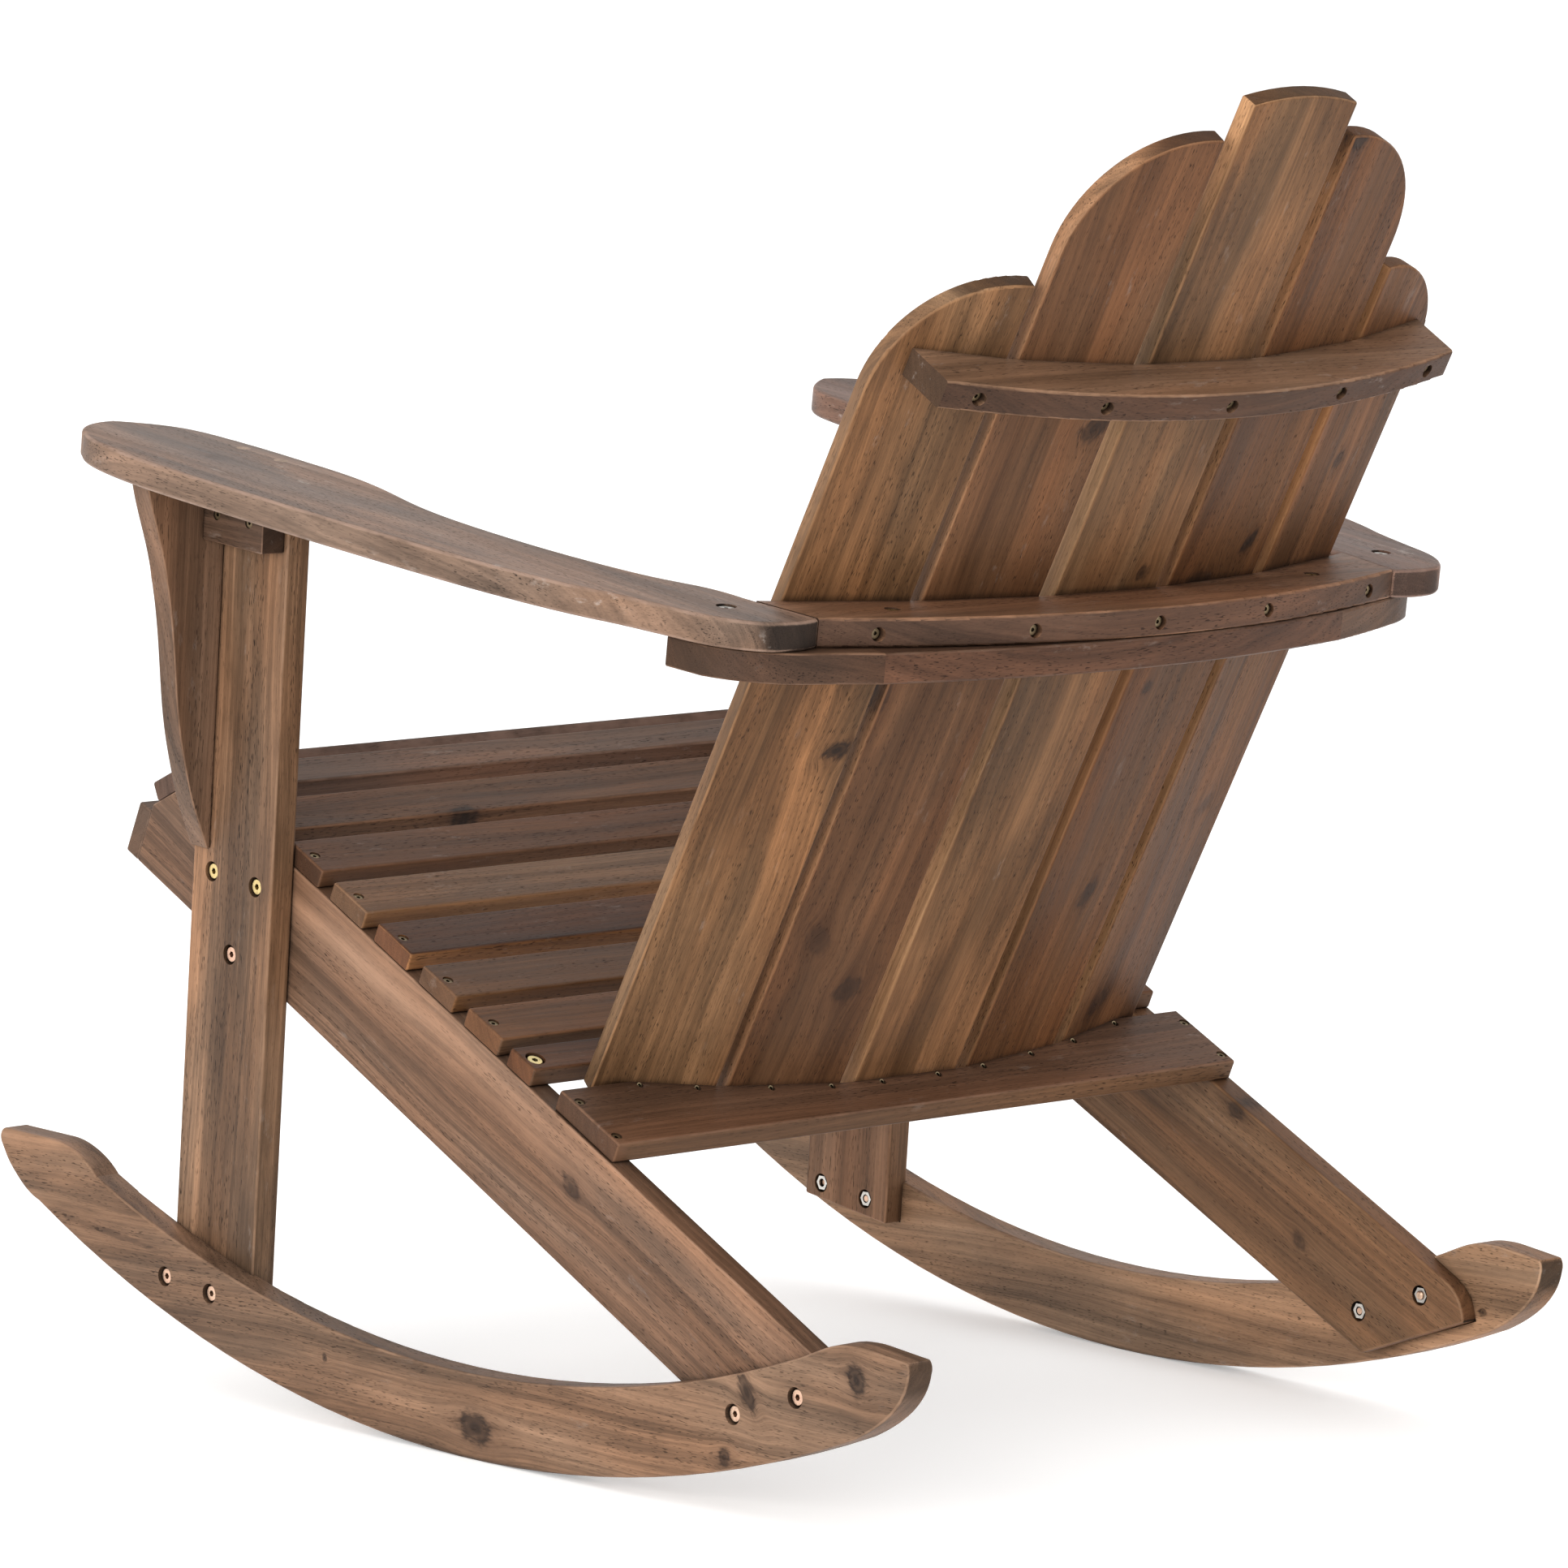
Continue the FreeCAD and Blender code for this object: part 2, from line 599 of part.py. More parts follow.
# ==========================================================================
# front legs
# ==========================================================================
leg_rear = VALUE["leg_front_y"] + VALUE["leg_width"]
for side, sgn in (("left", 1), ("right", -1)):
    b = side_board("front_leg_" + side, F_C, d("rail_outer_x"), d("leg_thick"),
                   (d("leg_front_y"), d("leg_foot_front")),
                   [("L", (d("leg_front_y") + d("leg_width"), d("leg_foot_rear"))),
                    ("L", (d("leg_front_y") + d("leg_width"), 660.0)),
                    ("L", (d("leg_front_y"), 660.0)), ("L", None)], sgn)
    shave(b, F_A, Vector(0, 0, -VALUE["arm_thick"]), Z1, "arm_bearing")
    soften(b, "edge_r")
    pts = [Vector(sgn * legout, p.y, p.z) for p in LEG_BOLTS]
    bore(b, F_C, pts, Vector(-sgn, 0, 0), d("bolt_cbore"), 6.5, "leg_bolt_heads")
    bore(b, F_C, [p - Vector(sgn * 5, 0, 0) for p in pts], Vector(-sgn, 0, 0), d("bolt_hole"), 20.0, "leg_bolt_holes")
    pts = [Vector(sgn * (legout + 1), p.y, p.z) for p in ROCK_FRONT]
    bore(b, F_C, pts, Vector(-sgn, 0, 0), d("bolt_hole"), 22.0, "rocker_bolt_holes")
    pts = [Vector(sgn * rout, p.y, p.z) for p in ROCK_FRONT]
    bore(b, F_C, pts, Vector(sgn, 0, 0), d("bolt_cbore"), 6.0, "rocker_nut_seats")
    # screws of the bracket and the cleat, and of the arm above
    pts = [Vector(sgn * (rout - 1), -260.5, z) for z in (430.0, 600.0)]
    bore(b, F_C, pts, Vector(sgn, 0, 0), d("screw_hole"), 22.0, "bracket_screw_holes")
    bore(b, F_C, pts, Vector(sgn, 0, 0), d("screw_cbore"), 5.4, "bracket_screw_heads")
    pts = [Vector(sgn * (legout + 1), y, 617.0) for y in (-236.0, -200.0)]
    bore(b, F_C, pts, Vector(-sgn, 0, 0), d("screw_hole"), 16.0, "cleat_screw_holes")
    z_arm = -VALUE["arm_thick"]
    pts = [Vector(sgn * 288.5, y, z_arm + 1) for y in (-248.0, -205.0)]
    bore(b, F_A, pts, Vector(0, 0, -1), d("screw_hole"), 26.0, "arm_screw_holes")
    for p in LEG_BOLTS:
        spot("leg_bolts", F_C, Vector(sgn * (legout - 1.8), p.y, p.z), Vector(sgn, 0, 0))
        spot("leg_bolt_nuts", F_C, Vector(sgn * (rin + 0.9), p.y, p.z), Vector(-sgn, 0, 0))
    for y in (-236.0, -200.0):
        spot("cleat_screws", F_C, Vector(sgn * (legout + VALUE["cleat_t"] - 0.8), y, 617.0), Vector(sgn, 0, 0))
    for z in (430.0, 600.0):
        spot("bracket_screws", F_C, Vector(sgn * (rout + 1.4), -260.5, z), Vector(-sgn, 0, 0))
    for y in (-248.0, -205.0):
        spot("arm_leg_screws", F_A, Vector(sgn * 288.5, y, -VALUE["plug_h"] - 0.3), Z1)
        spot("arm_plugs", F_A, Vector(sgn * 288.5, y, 0.0), Z1)

# ==========================================================================
# rockers
# ==========================================================================
ROCK = cells("rocker", [
    (-388.0, 136.4),                      # 0 running edge meets the nose
    (452.0, 92.6),                        # 1 running edge meets the tail curve
    (502.8, 139.5),                       # 2 tail
    (501.2, 148.9),                       # 3 tail corner
    (466.0, 152.6),                       # 4 flat of the tail
    (450.0, 152.9),                       # 5 hump
    (434.0, 150.6),                       # 6
    (400.0, 138.0),                       # 7 end of the top arc
    (-325.0, 167.0),                      # 8 start of the top arc
    (-341.0, 177.5),                      # 9
    (-355.0, 182.4),                      # 10
    (-372.0, 185.2),                      # 11 flat of the nose
    (-424.0, 186.6),                      # 12
    (-431.5, 181.5),                      # 13
    (-423.6, 165.0),                      # 14
], "rocker outline, Y and Z on the ground")
sheet.recompute()
CY, CZ, RR = VALUE["rocker_c_y"], VALUE["rocker_c_z"], VALUE["rocker_r"]
TY, TZ, TR = VALUE["rocker_top_c_y"], VALUE["rocker_top_c_z"], VALUE["rocker_top_r"]


def on_arc(cy, cz, r, y):
    return cz - math.sqrt(r * r - (y - cy) ** 2)


run_a = (-388.0, on_arc(CY, CZ, RR, -388.0))
run_b = (452.0, on_arc(CY, CZ, RR, 452.0))
top_a = (-322.0, on_arc(TY, TZ, TR, -322.0))
top_b = (400.0, on_arc(TY, TZ, TR, 400.0))
RUN = cells("run", [run_a, run_b, top_a, top_b], "ends of the running edge and of the top arc")
sheet.recompute()
for side, sgn in (("left", 1), ("right", -1)):
    b = new_body("rocker_" + side, F_W)
    toe = math.radians(VALUE["rocker_toe"])
    ydir = Vector(-sgn * math.sin(toe), math.cos(toe), 0)
    # the outline's Y is measured along the board from the pivot line
    at = Vector(sgn * VALUE["rocker_in_x"], VALUE["rocker_pivot_y"], 0) - ydir * VALUE["rocker_pivot_y"]
    sk = sketch_on(b, "outline_" + side, F_W, at, ydir, Z1)
    outline(sk, RUN[0], [
        ("A", (52.0, on_arc(CY, CZ, RR, 52.0)), d("rocker_r"), RUN[1]),
        ("S", [(466.0, 99.6), (478.5, 107.4), (489.5, 116.4), (498.0, 127.0)], ROCK[2]),
        ("S", [(503.2, 145.4)], ROCK[3]),
        ("L", ROCK[4]),
        ("S", [(458.0, 153.1)], ROCK[5]),
        ("S", [(434.0, 150.6), (417.0, 144.6)], RUN[3]),
        ("A", (39.0, on_arc(TY, TZ, TR, 39.0)), d("rocker_top_r"), RUN[2]),
        ("S", [(-333.0, 173.3), (-344.0, 178.9), (-357.0, 183.2)], ROCK[11]),
        ("L", ROCK[12]),
        ("S", [(-430.0, 184.6), (-431.6, 180.0), (-428.6, 173.0), (-423.0, 164.5),
               (-414.6, 155.8), (-403.0, 146.4)], None),
    ])
    pad(b, sk, d("rocker_thick"), reverse=(sgn < 0))
    soften(b, "edge_r")
    # flat tapered seats where the leg and the seat rail bear
    sk = sketch_on(b, "leg_seat", F_C, Vector(sgn * legout, 0, 0), Y1 * sgn, Z1)
    q = [(VALUE["leg_front_y"] - 0.3, VALUE["leg_foot_front"] - 0.3), (leg_rear + 0.3, VALUE["leg_foot_rear"] - 0.3),
         (leg_rear + 0.3, 260.0), (VALUE["leg_front_y"] - 0.3, 260.0)]
    q = [(sgn * a, c) for a, c in q]
    outline(sk, q[0], [("L", v) for v in q[1:]] + [("L", None)])
    p = b.newObject("PartDesign::Pocket", "leg_seat_cut")
    p.Profile = sk
    p.Length = 12.0
    b.Tip = p
    doc.recompute()
    if not p.Shape.Volume < p.BaseFeature.Shape.Volume - 1:
        raise RuntimeError("leg seat cuts nothing")
    sk = sketch_on(b, "rail_seat", F_S, Vector(sgn * rout, 0, 0), Y1 * sgn, Z1)
    q = [(760.0, 0.3), (985.0, 0.3), (1002.0, -4.0), (1013.0, -16.0), (938.9, -88.3), (760.0, -88.3)]
    q = [(sgn * a, c) for a, c in q]
    outline(sk, q[0], [("L", v) for v in q[1:]] + [("L", None)])
    p = b.newObject("PartDesign::Pocket", "rail_seat_cut")
    p.Profile = sk
    p.Length = 12.0
    b.Tip = p
    doc.recompute()
    if not p.Shape.Volume < p.BaseFeature.Shape.Volume - 1:
        raise RuntimeError("rail seat cuts nothing")
    for k, pts in (("front", ROCK_FRONT), ("rear", ROCK_REAR)):
        for i, p in enumerate(pts):
            w = F_C.multVec(Vector(0, p.y, p.z))
            xo = rocker_out(w.y)
            face = Vector(sgn * (xo + 2), w.y, w.z)
            bore(b, F_W, [face], Vector(-sgn, 0, 0), d("bolt_cbore"), 9.0, "%s_head_%d" % (k, i + 1))
            bore(b, F_W, [face], Vector(-sgn, 0, 0), d("bolt_hole"), 40.0, "%s_hole_%d" % (k, i + 1))
            spot("rocker_%s_bolts" % k, F_W, Vector(sgn * (xo - 2.2), w.y, w.z), Vector(sgn, 0, 0))
            xn = rout if k == "front" else rin
            spot("rocker_%s_nuts" % k, F_W, Vector(sgn * (xn + 0.9), w.y, w.z), Vector(-sgn, 0, 0))

# ==========================================================================
# arm brackets and cleats
# ==========================================================================
BRK = cells("bracket", [(298.0, 382.0), (301.0, 382.0), (345.0, 570.0), (367.0, 650.0)],
            "bracket outline, X and Z in the chair frame")
sheet.recompute()
for side, sgn in (("left", 1), ("right", -1)):
    b = new_body("arm_bracket_" + side, F_C)
    # the plane's normal is -Y, so the pad runs forward from the rear face
    sk = sketch_on(b, "bracket_outline_" + side, F_C,
                   Vector(0, VALUE["leg_front_y"] + VALUE["bracket_t"], 0), X1, Z1)
    outline(sk, (BRK[0][0], BRK[0][1]), [
        ("L", BRK[1]),
        ("S", [(307.0, 396.5), (313.5, 412.0), (320.5, 434.0), (328.5, 466.0), (335.5, 515.0), (339.8, 545.0)], BRK[2]),
        ("S", [(353.5, 601.0), (363.5, 632.0)], BRK[3]),
        ("L", (d("bracket_x0"), d("bracket_y3"))), ("L", None)], mirror=sgn)
    pad(b, sk, d("bracket_t"))
    shave(b, F_A, Vector(0, 0, -VALUE["arm_thick"]), Z1, "arm_bearing")
    soften(b, "edge_small")
    pts = [Vector(sgn * (legout - 1), -260.5, z) for z in (430.0, 600.0)]
    bore(b, F_C, pts, Vector(sgn, 0, 0), d("screw_hole"), 15.0, "screw_holes")

    b = side_board("arm_cleat_" + side, F_C, d("rail_outer_x") + d("leg_thick"), d("cleat_t"),
                   (d("leg_front_y") + d("bracket_t"), d("cleat_z")),
                   [("L", (d("leg_front_y") + d("leg_width") - 4, d("cleat_z"))),
                    ("L", (d("leg_front_y") + d("leg_width") - 4, 660.0)),
                    ("L", (d("leg_front_y") + d("bracket_t"), 660.0)), ("L", None)], sgn)
    shave(b, F_A, Vector(0, 0, -VALUE["arm_thick"]), Z1, "arm_bearing")
    soften(b, "edge_small")
    xo = legout + VALUE["cleat_t"]
    pts = [Vector(sgn * xo, y, 617.0) for y in (-236.0, -200.0)]
    bore(b, F_C, pts, Vector(-sgn, 0, 0), d("screw_cbore"), 3.6, "screw_heads")
    bore(b, F_C, [p - Vector(sgn * 2, 0, 0) for p in pts], Vector(-sgn, 0, 0), d("screw_hole"), 19.0, "screw_holes")

# ==========================================================================
# arms
# ==========================================================================
ARM = cells("arm", [
    (321.0, -356.0),                      # 0 front inner corner
    (260.0, 250.0),                       # 1 straight beside the back
    (259.0, 266.0),                       # 2 joint with the middle rail, front
    (253.5, 316.7),                       # 3 joint with the middle rail, rear
    (344.0, 204.0),                       # 4 outer edge over the support rail
    (363.0, -330.0),                      # 5 front outer corner
], "arm outline, arm frame")
sheet.recompute()
for side, sgn in (("left", 1), ("right", -1)):
    b = new_body("arm_" + side, F_A)
    sk = sketch_on(b, "arm_outline_" + side, F_A, Vector(0, 0, -VALUE["arm_thick"]), X1, Y1)
    outline(sk, ARM[0], [
        ("S", [(301.0, -341.0), (285.0, -320.0), (277.5, -290.0), (273.5, -250.0), (271.5, -200.0),
               (271.5, -145.0), (278.0, -98.0), (287.0, -58.0), (292.5, -15.0), (293.5, 25.0),
               (290.5, 95.0), (284.0, 145.0), (274.0, 188.0), (264.5, 213.0), (260.5, 232.0)], ARM[1]),
        ("L", ARM[2]),
        ("L", ARM[3]),
        ("S", [(262.0, 320.2), (278.0, 321.8), (291.0, 319.8), (302.0, 313.5), (313.0, 302.0), (322.0, 286.0),
               (328.0, 264.0), (333.5, 240.0)], ARM[4]),
        ("S", [(350.5, 182.0), (357.5, 150.0), (364.5, 105.0), (370.5, 45.0), (375.5, -20.0), (379.5, -85.0),
               (382.5, -150.0), (384.5, -205.0), (383.5, -250.0), (379.5, -285.0), (373.0, -311.0)], ARM[5]),
        ("S", [(353.0, -344.0), (338.0, -353.0)], None),
    ], mirror=sgn)
    pad(b, sk, d("arm_thick"))
    soften(b, "arm_edge_r", lambda e: not (abs(e.BoundBox.YMax - 316.7) < 1 and abs(e.BoundBox.YMin - 266) < 1))
    pts = [Vector(sgn * 288.5, y, 0) for y in (-248.0, -205.0)]
    bore(b, F_A, pts, Vector(0, 0, -1), d("plug_d"), d("plug_h") + 4.2, "plug_holes")
    bore(b, F_A, pts, Vector(0, 0, -1), d("screw_hole"), 21.0, "leg_screw_holes")
    pts = [Vector(sgn * 289.8, 268.3, 0)]
    bore(b, F_A, pts, Vector(0, 0, -1), 13.6, 5.0, "rear_screw_head")
    bore(b, F_A, pts, Vector(0, 0, -1), d("screw_hole"), 21.0, "rear_screw_hole")
    spot("arm_rear_screws", F_A, Vector(sgn * 289.8, 268.3, -1.2), Z1)

# ==========================================================================
# middle rail and arm support rail
# ==========================================================================
MIDR = cells("midr", [(259.0, 266.0), (253.5, 316.7), (259.0, 225.0)], "middle rail ends, arm frame")
sheet.recompute()
b = new_body("middle_back_rail", F_A)
sk = sketch_on(b, "middle_rail_outline", F_A, Vector(0, 0, -VALUE["arm_thick"]), X1, Y1)
outline(sk, (-MIDR[2][0], MIDR[2][1]), [
    ("L", MIDR[2]), ("L", MIDR[0]), ("L", MIDR[1]),
    ("A", (0.0, 360.0), (-MIDR[1][0], MIDR[1][1])),
    ("L", (-MIDR[0][0], MIDR[0][1])), ("L", None)])
pad(b, sk, d("arm_thick"))
hollow_cut(b, 259.0, "slat_flats")
soften(b, "edge_r", lambda e: e.BoundBox.YMax > 280 and e.BoundBox.XLength > 200)


def rear_edge(x):
    return VALUE["mid_rail_y"] - x * x / (2 * 740.0)


MID_Z = -10.5
MID_X = (-223.5, -106.5, -2.5, 100.5, 213.5)
for x in MID_X:
    y = rear_edge(x)
    bore(b, F_A, [Vector(x, y + 2, MID_Z)], Vector(0, -1, 0), d("screw_cbore") + 2.0, 8.5, "rear_head")
    bore(b, F_A, [Vector(x, y + 2, MID_Z)], Vector(0, -1, 0), d("screw_hole"), 70.0, "rear_hole")
    spot("middle_rail_screws", F_A, Vector(x, y - 3.2, MID_Z), Y1)
pts = [Vector(x, 309.0, 0) for x in (-185.5, 185.5)]
bore(b, F_A, pts, Vector(0, 0, -1), d("screw_cbore") + 3.2, 4.2, "top_heads")
bore(b, F_A, pts, Vector(0, 0, -1), d("screw_hole"), 21.0, "top_holes")
for p in pts:
    spot("middle_rail_top_screws", F_A, p + Vector(0, 0, -1.0), Z1)

# the glue joints and the hand-sawn rear curve differ from side to side
SUP_L = cells("sup_left", [(218.0, 200.0), (250.0, 200.0), (252.0, 254.0), (324.0, 254.0), (320.2, 284.0),
                           (264.0, 329.4), (218.0, 343.5)], "left end of the support rail, arm frame")
SUP_R = cells("sup_right", [(190.0, 200.0), (250.0, 200.0), (252.0, 254.0), (324.0, 254.0), (290.0, 297.5),
                            (264.0, 311.0), (190.0, 337.5)], "right end of the support rail, arm frame")
sheet.recompute()
zt = -VALUE["arm_thick"]
zb = zt - VALUE["support_thick"]
b = new_body("arm_support_rail", F_A)
sk = sketch_on(b, "support_outline", F_A, Vector(0, 0, zb), X1, Y1)
outline(sk, (-SUP_R[0][0], SUP_R[0][1]), [
    ("L", SUP_L[0]), ("L", SUP_L[6]), ("A", (0.0, 361.0), (-SUP_R[6][0], SUP_R[6][1])), ("L", None)])
pad(b, sk, d("support_thick"))
hollow_cut(b, 325.0, "slat_flats")
soften(b, "edge_r", lambda e: e.BoundBox.YMax > 280 and e.BoundBox.XLength > 200)
pts = [Vector(x, 309.0, zt) for x in (-185.5, 185.5)]
bore(b, F_A, pts, Vector(0, 0, -1), d("screw_hole"), 14.0, "top_holes")
for side, sgn, q, a1, a2 in (("left", 1, SUP_L, (297.5, 313.4), (240.7, 335.4)),
                             ("right", -1, SUP_R, (278.5, 304.7), (229.0, 324.6))):
    b = new_body("arm_support_end_" + side, F_A)
    sk = sketch_on(b, "support_end_" + side, F_A, Vector(0, 0, zb), X1, Y1)
    outline(sk, q[0], [
        ("L", q[1]), ("L", q[2]), ("L", q[3]), ("L", q[4]), ("A", a1, q[5]), ("A", a2, q[6]), ("L", None)], mirror=sgn)
    pad(b, sk, d("support_thick"))
    hollow_cut(b, 325.0, "slat_flats")

    def rear_rim(e, seam=q[0][0].v):
        m = e.CenterOfMass
        flat = min(abs(m.z - zt), abs(m.z - zb)) < 0.1
        return flat and m.y > 262 and abs(m.x) > seam + 4
    soften(b, "edge_r", rear_rim)
    pts = [Vector(sgn * 289.8, 268.3, zt)]
    bore(b, F_A, pts, Vector(0, 0, -1), d("screw_hole"), 14.0, "arm_screw_hole")

# ==========================================================================
# top rail
# ==========================================================================
TOPR = cells("topr", [(222.0, 22.2), (222.0, -40.0)], "top rail ends: X and depth behind the back frame")
sheet.recompute()
b = new_body("top_back_rail", F_B)
# drawn looking down the slats: x is X, y is depth to the rear (-Z of the frame)
sk = sketch_on(b, "top_rail_outline", F_B, Vector(0, VALUE["top_rail_s"], 0), X1, Z1.negative())
outline(sk, (-TOPR[1][0], TOPR[1][1]), [
    ("L", TOPR[1]), ("L", TOPR[0]), ("A", (0.0, 55.0), (-TOPR[0][0], TOPR[0][1])), ("L", None)])
pad(b, sk, d("top_rail_t"))
hollow_cut(b, 243.0, "slat_flats")
soften(b, "edge_r", lambda e: e.BoundBox.XLength > 400 and e.BoundBox.ZMin < -40)
for x in (-197.0, -103.0, 0.0, 103.0, 197.0):
    n = 55.0 - x * x / 1500.0
    bore(b, F_B, [Vector(x, 875.0, -n - 2)], Z1, d("screw_cbore") + 2.0, 9.0, "rear_head")
    bore(b, F_B, [Vector(x, 875.0, -n - 2)], Z1, d("screw_hole"), 80.0, "rear_hole")
    spot("top_rail_screws", F_B, Vector(x, 875.0, -n + 3.6), Z1.negative())

# ==========================================================================
# back slats
# ==========================================================================
half_q = d("slat_width") / 2
for i, xc in enumerate(SLAT_X):
    name = "back_slat_%d" % (i + 1)
    # the board lies on the chord of the hollow under its own width
    za, zc = -hollow(xc - half), -hollow(xc + half)
    tilt = math.degrees(math.atan2(zc - za, 2 * half))
    frame = F_B.multiply(Placement(Vector(xc, 0, (za + zc) / 2), Rotation(Y1, -tilt)))
    b = new_body(name, frame)
    sk = sketch_on(b, name + "_outline", frame, Vector(), X1, Y1)
    foot = d("slat_foot")
    if i == 2:
        top = d("slat_top_mid")
        outline(sk, (-half_q, foot), [("L", (half_q, foot)), ("L", (half_q, top)),
                                      ("A", (0.0, VALUE["slat_top_mid"] + VALUE["slat_crown"]), (-half_q, top)),
                                      ("L", None)])
    else:
        top = d("slat_top_outer") if i in (0, 4) else d("slat_top_inner")
        r = VALUE["slat_width"]
        c = math.cos(math.pi / 4)
        if xc > 0:      # round towards +X
            outline(sk, (-half_q, foot), [("L", (half_q, foot)), ("L", (half_q, top - d("slat_width"))),
                                          ("A", (-half + r * c, top.v - r + r * c), d("slat_width"), (-half_q, top)),
                                          ("L", None)])
        else:
            outline(sk, (-half_q, foot), [("L", (half_q, foot)), ("L", (half_q, top)),
                                          ("A", (half - r * c, top.v - r + r * c), d("slat_width"),
                                           (-half_q, top - d("slat_width"))),
                                          ("L", None)])
    pad(b, sk, d("slat_thick"))
    soften(b, "edge_r")
    # pilot holes for the screws that come through the rails
    rails = [(x, F_B, Vector(x, 875.0, -90.0), Z1) for x in (-197.0, -103.0, 0.0, 103.0, 197.0)]
    rails += [(x, F_A, Vector(x, 400.0, MID_Z), Vector(0, -1, 0)) for x in MID_X]
    for k, (x, fr, at, dr) in enumerate(rails):
        if abs(x - xc) < half:
            if fr is F_B:
                # ends 10.5 mm into the board, measured at the hole
                depth = 90.0 - hollow(x) + 10.5
            else:
                # distance from y = 400 to the slat's rear face along -Y of the arm frame
                p0 = to_frame(F_B, F_A, at)
                p1 = to_frame(F_B, F_A, at + dr)
                tt = (-hollow(x) - p0.z) / (p1.z - p0.z)
                depth = tt + 10.5
            bore(b, fr, [at], dr, d("screw_hole"), depth, "pilot_%d" % k)

# ==========================================================================
# seat boards on the rails
# ==========================================================================
def cross_board(name, s0, w, thick, half_len):
    b = new_body(name, F_S)
    sk = sketch_on(b, name + "_outline", F_S, Vector(), X1, Y1)
    rect(sk, -half_len, s0, half_len, s0 + w)
    pad(b, sk, thick)
    return b


for i, sc in enumerate(SEAT_S):
    name = "seat_slat_%d" % (i + 1)
    if i == 0:
        b = cross_board(name, d("first_slat_s"), d("first_slat_w"), d("seat_thick"), d("seat_width") / 2)
    else:
        b = cross_board(name, d("seat_start") + d("seat_pitch") * (i - 1), d("seat_slat_w"), d("seat_thick"),
                        d("seat_width") / 2)
    soften(b, "edge_r")
    pts = [Vector(x, sc, VALUE["seat_thick"]) for x in (-271.0, 271.0)]
    bore(b, F_S, pts, Vector(0, 0, -1), d("screw_cbore"), 4.0, "screw_heads")
    bore(b, F_S, pts, Vector(0, 0, -1), d("screw_hole"), 16.0, "screw_holes")
    for p in pts:
        spot("seat_slat_screws", F_S, p + Vector(0, 0, -1.0), Z1)

b = cross_board("rear_seat_rail", d("rear_rail_s"), d("rear_rail_w"), d("seat_thick"), d("seat_width") / 2)
soften(b, "edge_r")
pts = [Vector(x, 625.5, VALUE["seat_thick"]) for x in (-268.5, 268.5)]
bore(b, F_S, pts, Vector(0, 0, -1), d("bolt_cbore"), 6.0, "bolt_heads")
bore(b, F_S, pts, Vector(0, 0, -1), d("bolt_hole"), 16.0, "bolt_holes")
for p in pts:
    spot("rear_seat_rail_bolts", F_S, p + Vector(0, 0, -1.2), Z1)

b = cross_board("bottom_back_rail", d("bottom_rail_s") - d("bottom_rail_w"), d("bottom_rail_w"),
                d("bottom_rail_t"), Q(276.5, "276.5"))
hollow_cut(b, 276.5, "slat_flats")
soften(b, "edge_r", lambda e: e.BoundBox.YMax > 725)
pts = [Vector(x, s, VALUE["bottom_rail_t"]) for x in (-271.0, 271.0) for s in (680.0, 722.0)]
bore(b, F_S, pts, Vector(0, 0, -1), d("screw_cbore"), 4.0, "screw_heads")
bore(b, F_S, pts, Vector(0, 0, -1), d("screw_hole"), 17.0, "screw_holes")
for p in pts:
    spot("bottom_rail_screws", F_S, p + Vector(0, 0, -1.0), Z1)
bottom_rail = b

# toe screws from the bottom rail into the feet of the slats
TOE = [-213.0, -163.0, -117.0, -68.0, -25.0, 25.0, 68.0, 116.0, 172.0, 213.0]
toe_dir = Vector(0, -0.70, -0.714)
toe_dir.normalize()
slat_objs = dict(NODES)
for x in TOE:
    # rear face of the slat on the top of the bottom rail, rail frame
    p0 = to_frame(F_B, F_S, Vector(x, 650.0, VALUE["bottom_rail_t"]))
    p1 = to_frame(F_B, F_S, Vector(x, 651.0, VALUE["bottom_rail_t"]))
    xc = min(SLAT_X, key=lambda q: abs(q - x))
    za, zc = -hollow(xc - half), -hollow(xc + half)
    zf = (za + zc) / 2 + (zc - za) / (2 * half) * (x - xc)
    tt = (zf - p0.z) / (p1.z - p0.z)
    s_face = 650.0 + tt
    top = Vector(x, s_face + 4.0, VALUE["bottom_rail_t"])
    lead = top - toe_dir * 4.0
    bore(bottom_rail, F_S, [lead], toe_dir, d("screw_cbore") - 3.0, 8.2, "toe_head")
    bore(bottom_rail, F_S, [lead], toe_dir, d("screw_hole") - 0.6, 24.0, "toe_hole")
    slat = slat_objs["back_slat_%d" % (SLAT_X.index(xc) + 1)]
    bore(slat, F_S, [lead], toe_dir, d("screw_hole") - 0.6, 24.0, "toe_hole")
    spot("slat_foot_screws", F_S, top + toe_dir * 1.2, toe_dir.negative())

# nose slat on the chamfer and apron on the front ends of the rails
ch = Vector(0, 38.5, 44.4)
ch.normalize()
up = Vector(0, -ch.z, ch.y)
p0 = Vector(0, 197.5, -44.4)
F_N = F_S.multiply(Placement(p0, Rotation(X1, ch, up, "ZXY")))
b = new_body("seat_nose_slat", F_N)
sk = sketch_on(b, "nose_outline", F_N, Vector(), X1, Y1)
rect(sk, -d("seat_width") / 2, 5.5, d("seat_width") / 2, d("nose_w") + 5.5)
pad(b, sk, d("seat_thick"))
soften(b, "edge_r")
pts = [Vector(x, 30.0, VALUE["seat_thick"]) for x in (-271.0, 271.0)]
bore(b, F_N, pts, Vector(0, 0, -1), d("screw_cbore"), 4.0, "screw_heads")
bore(b, F_N, pts, Vector(0, 0, -1), d("screw_hole"), 16.0, "screw_holes")
for p in pts:
    spot("nose_slat_screws", F_N, p + Vector(0, 0, -1.0), Z1)
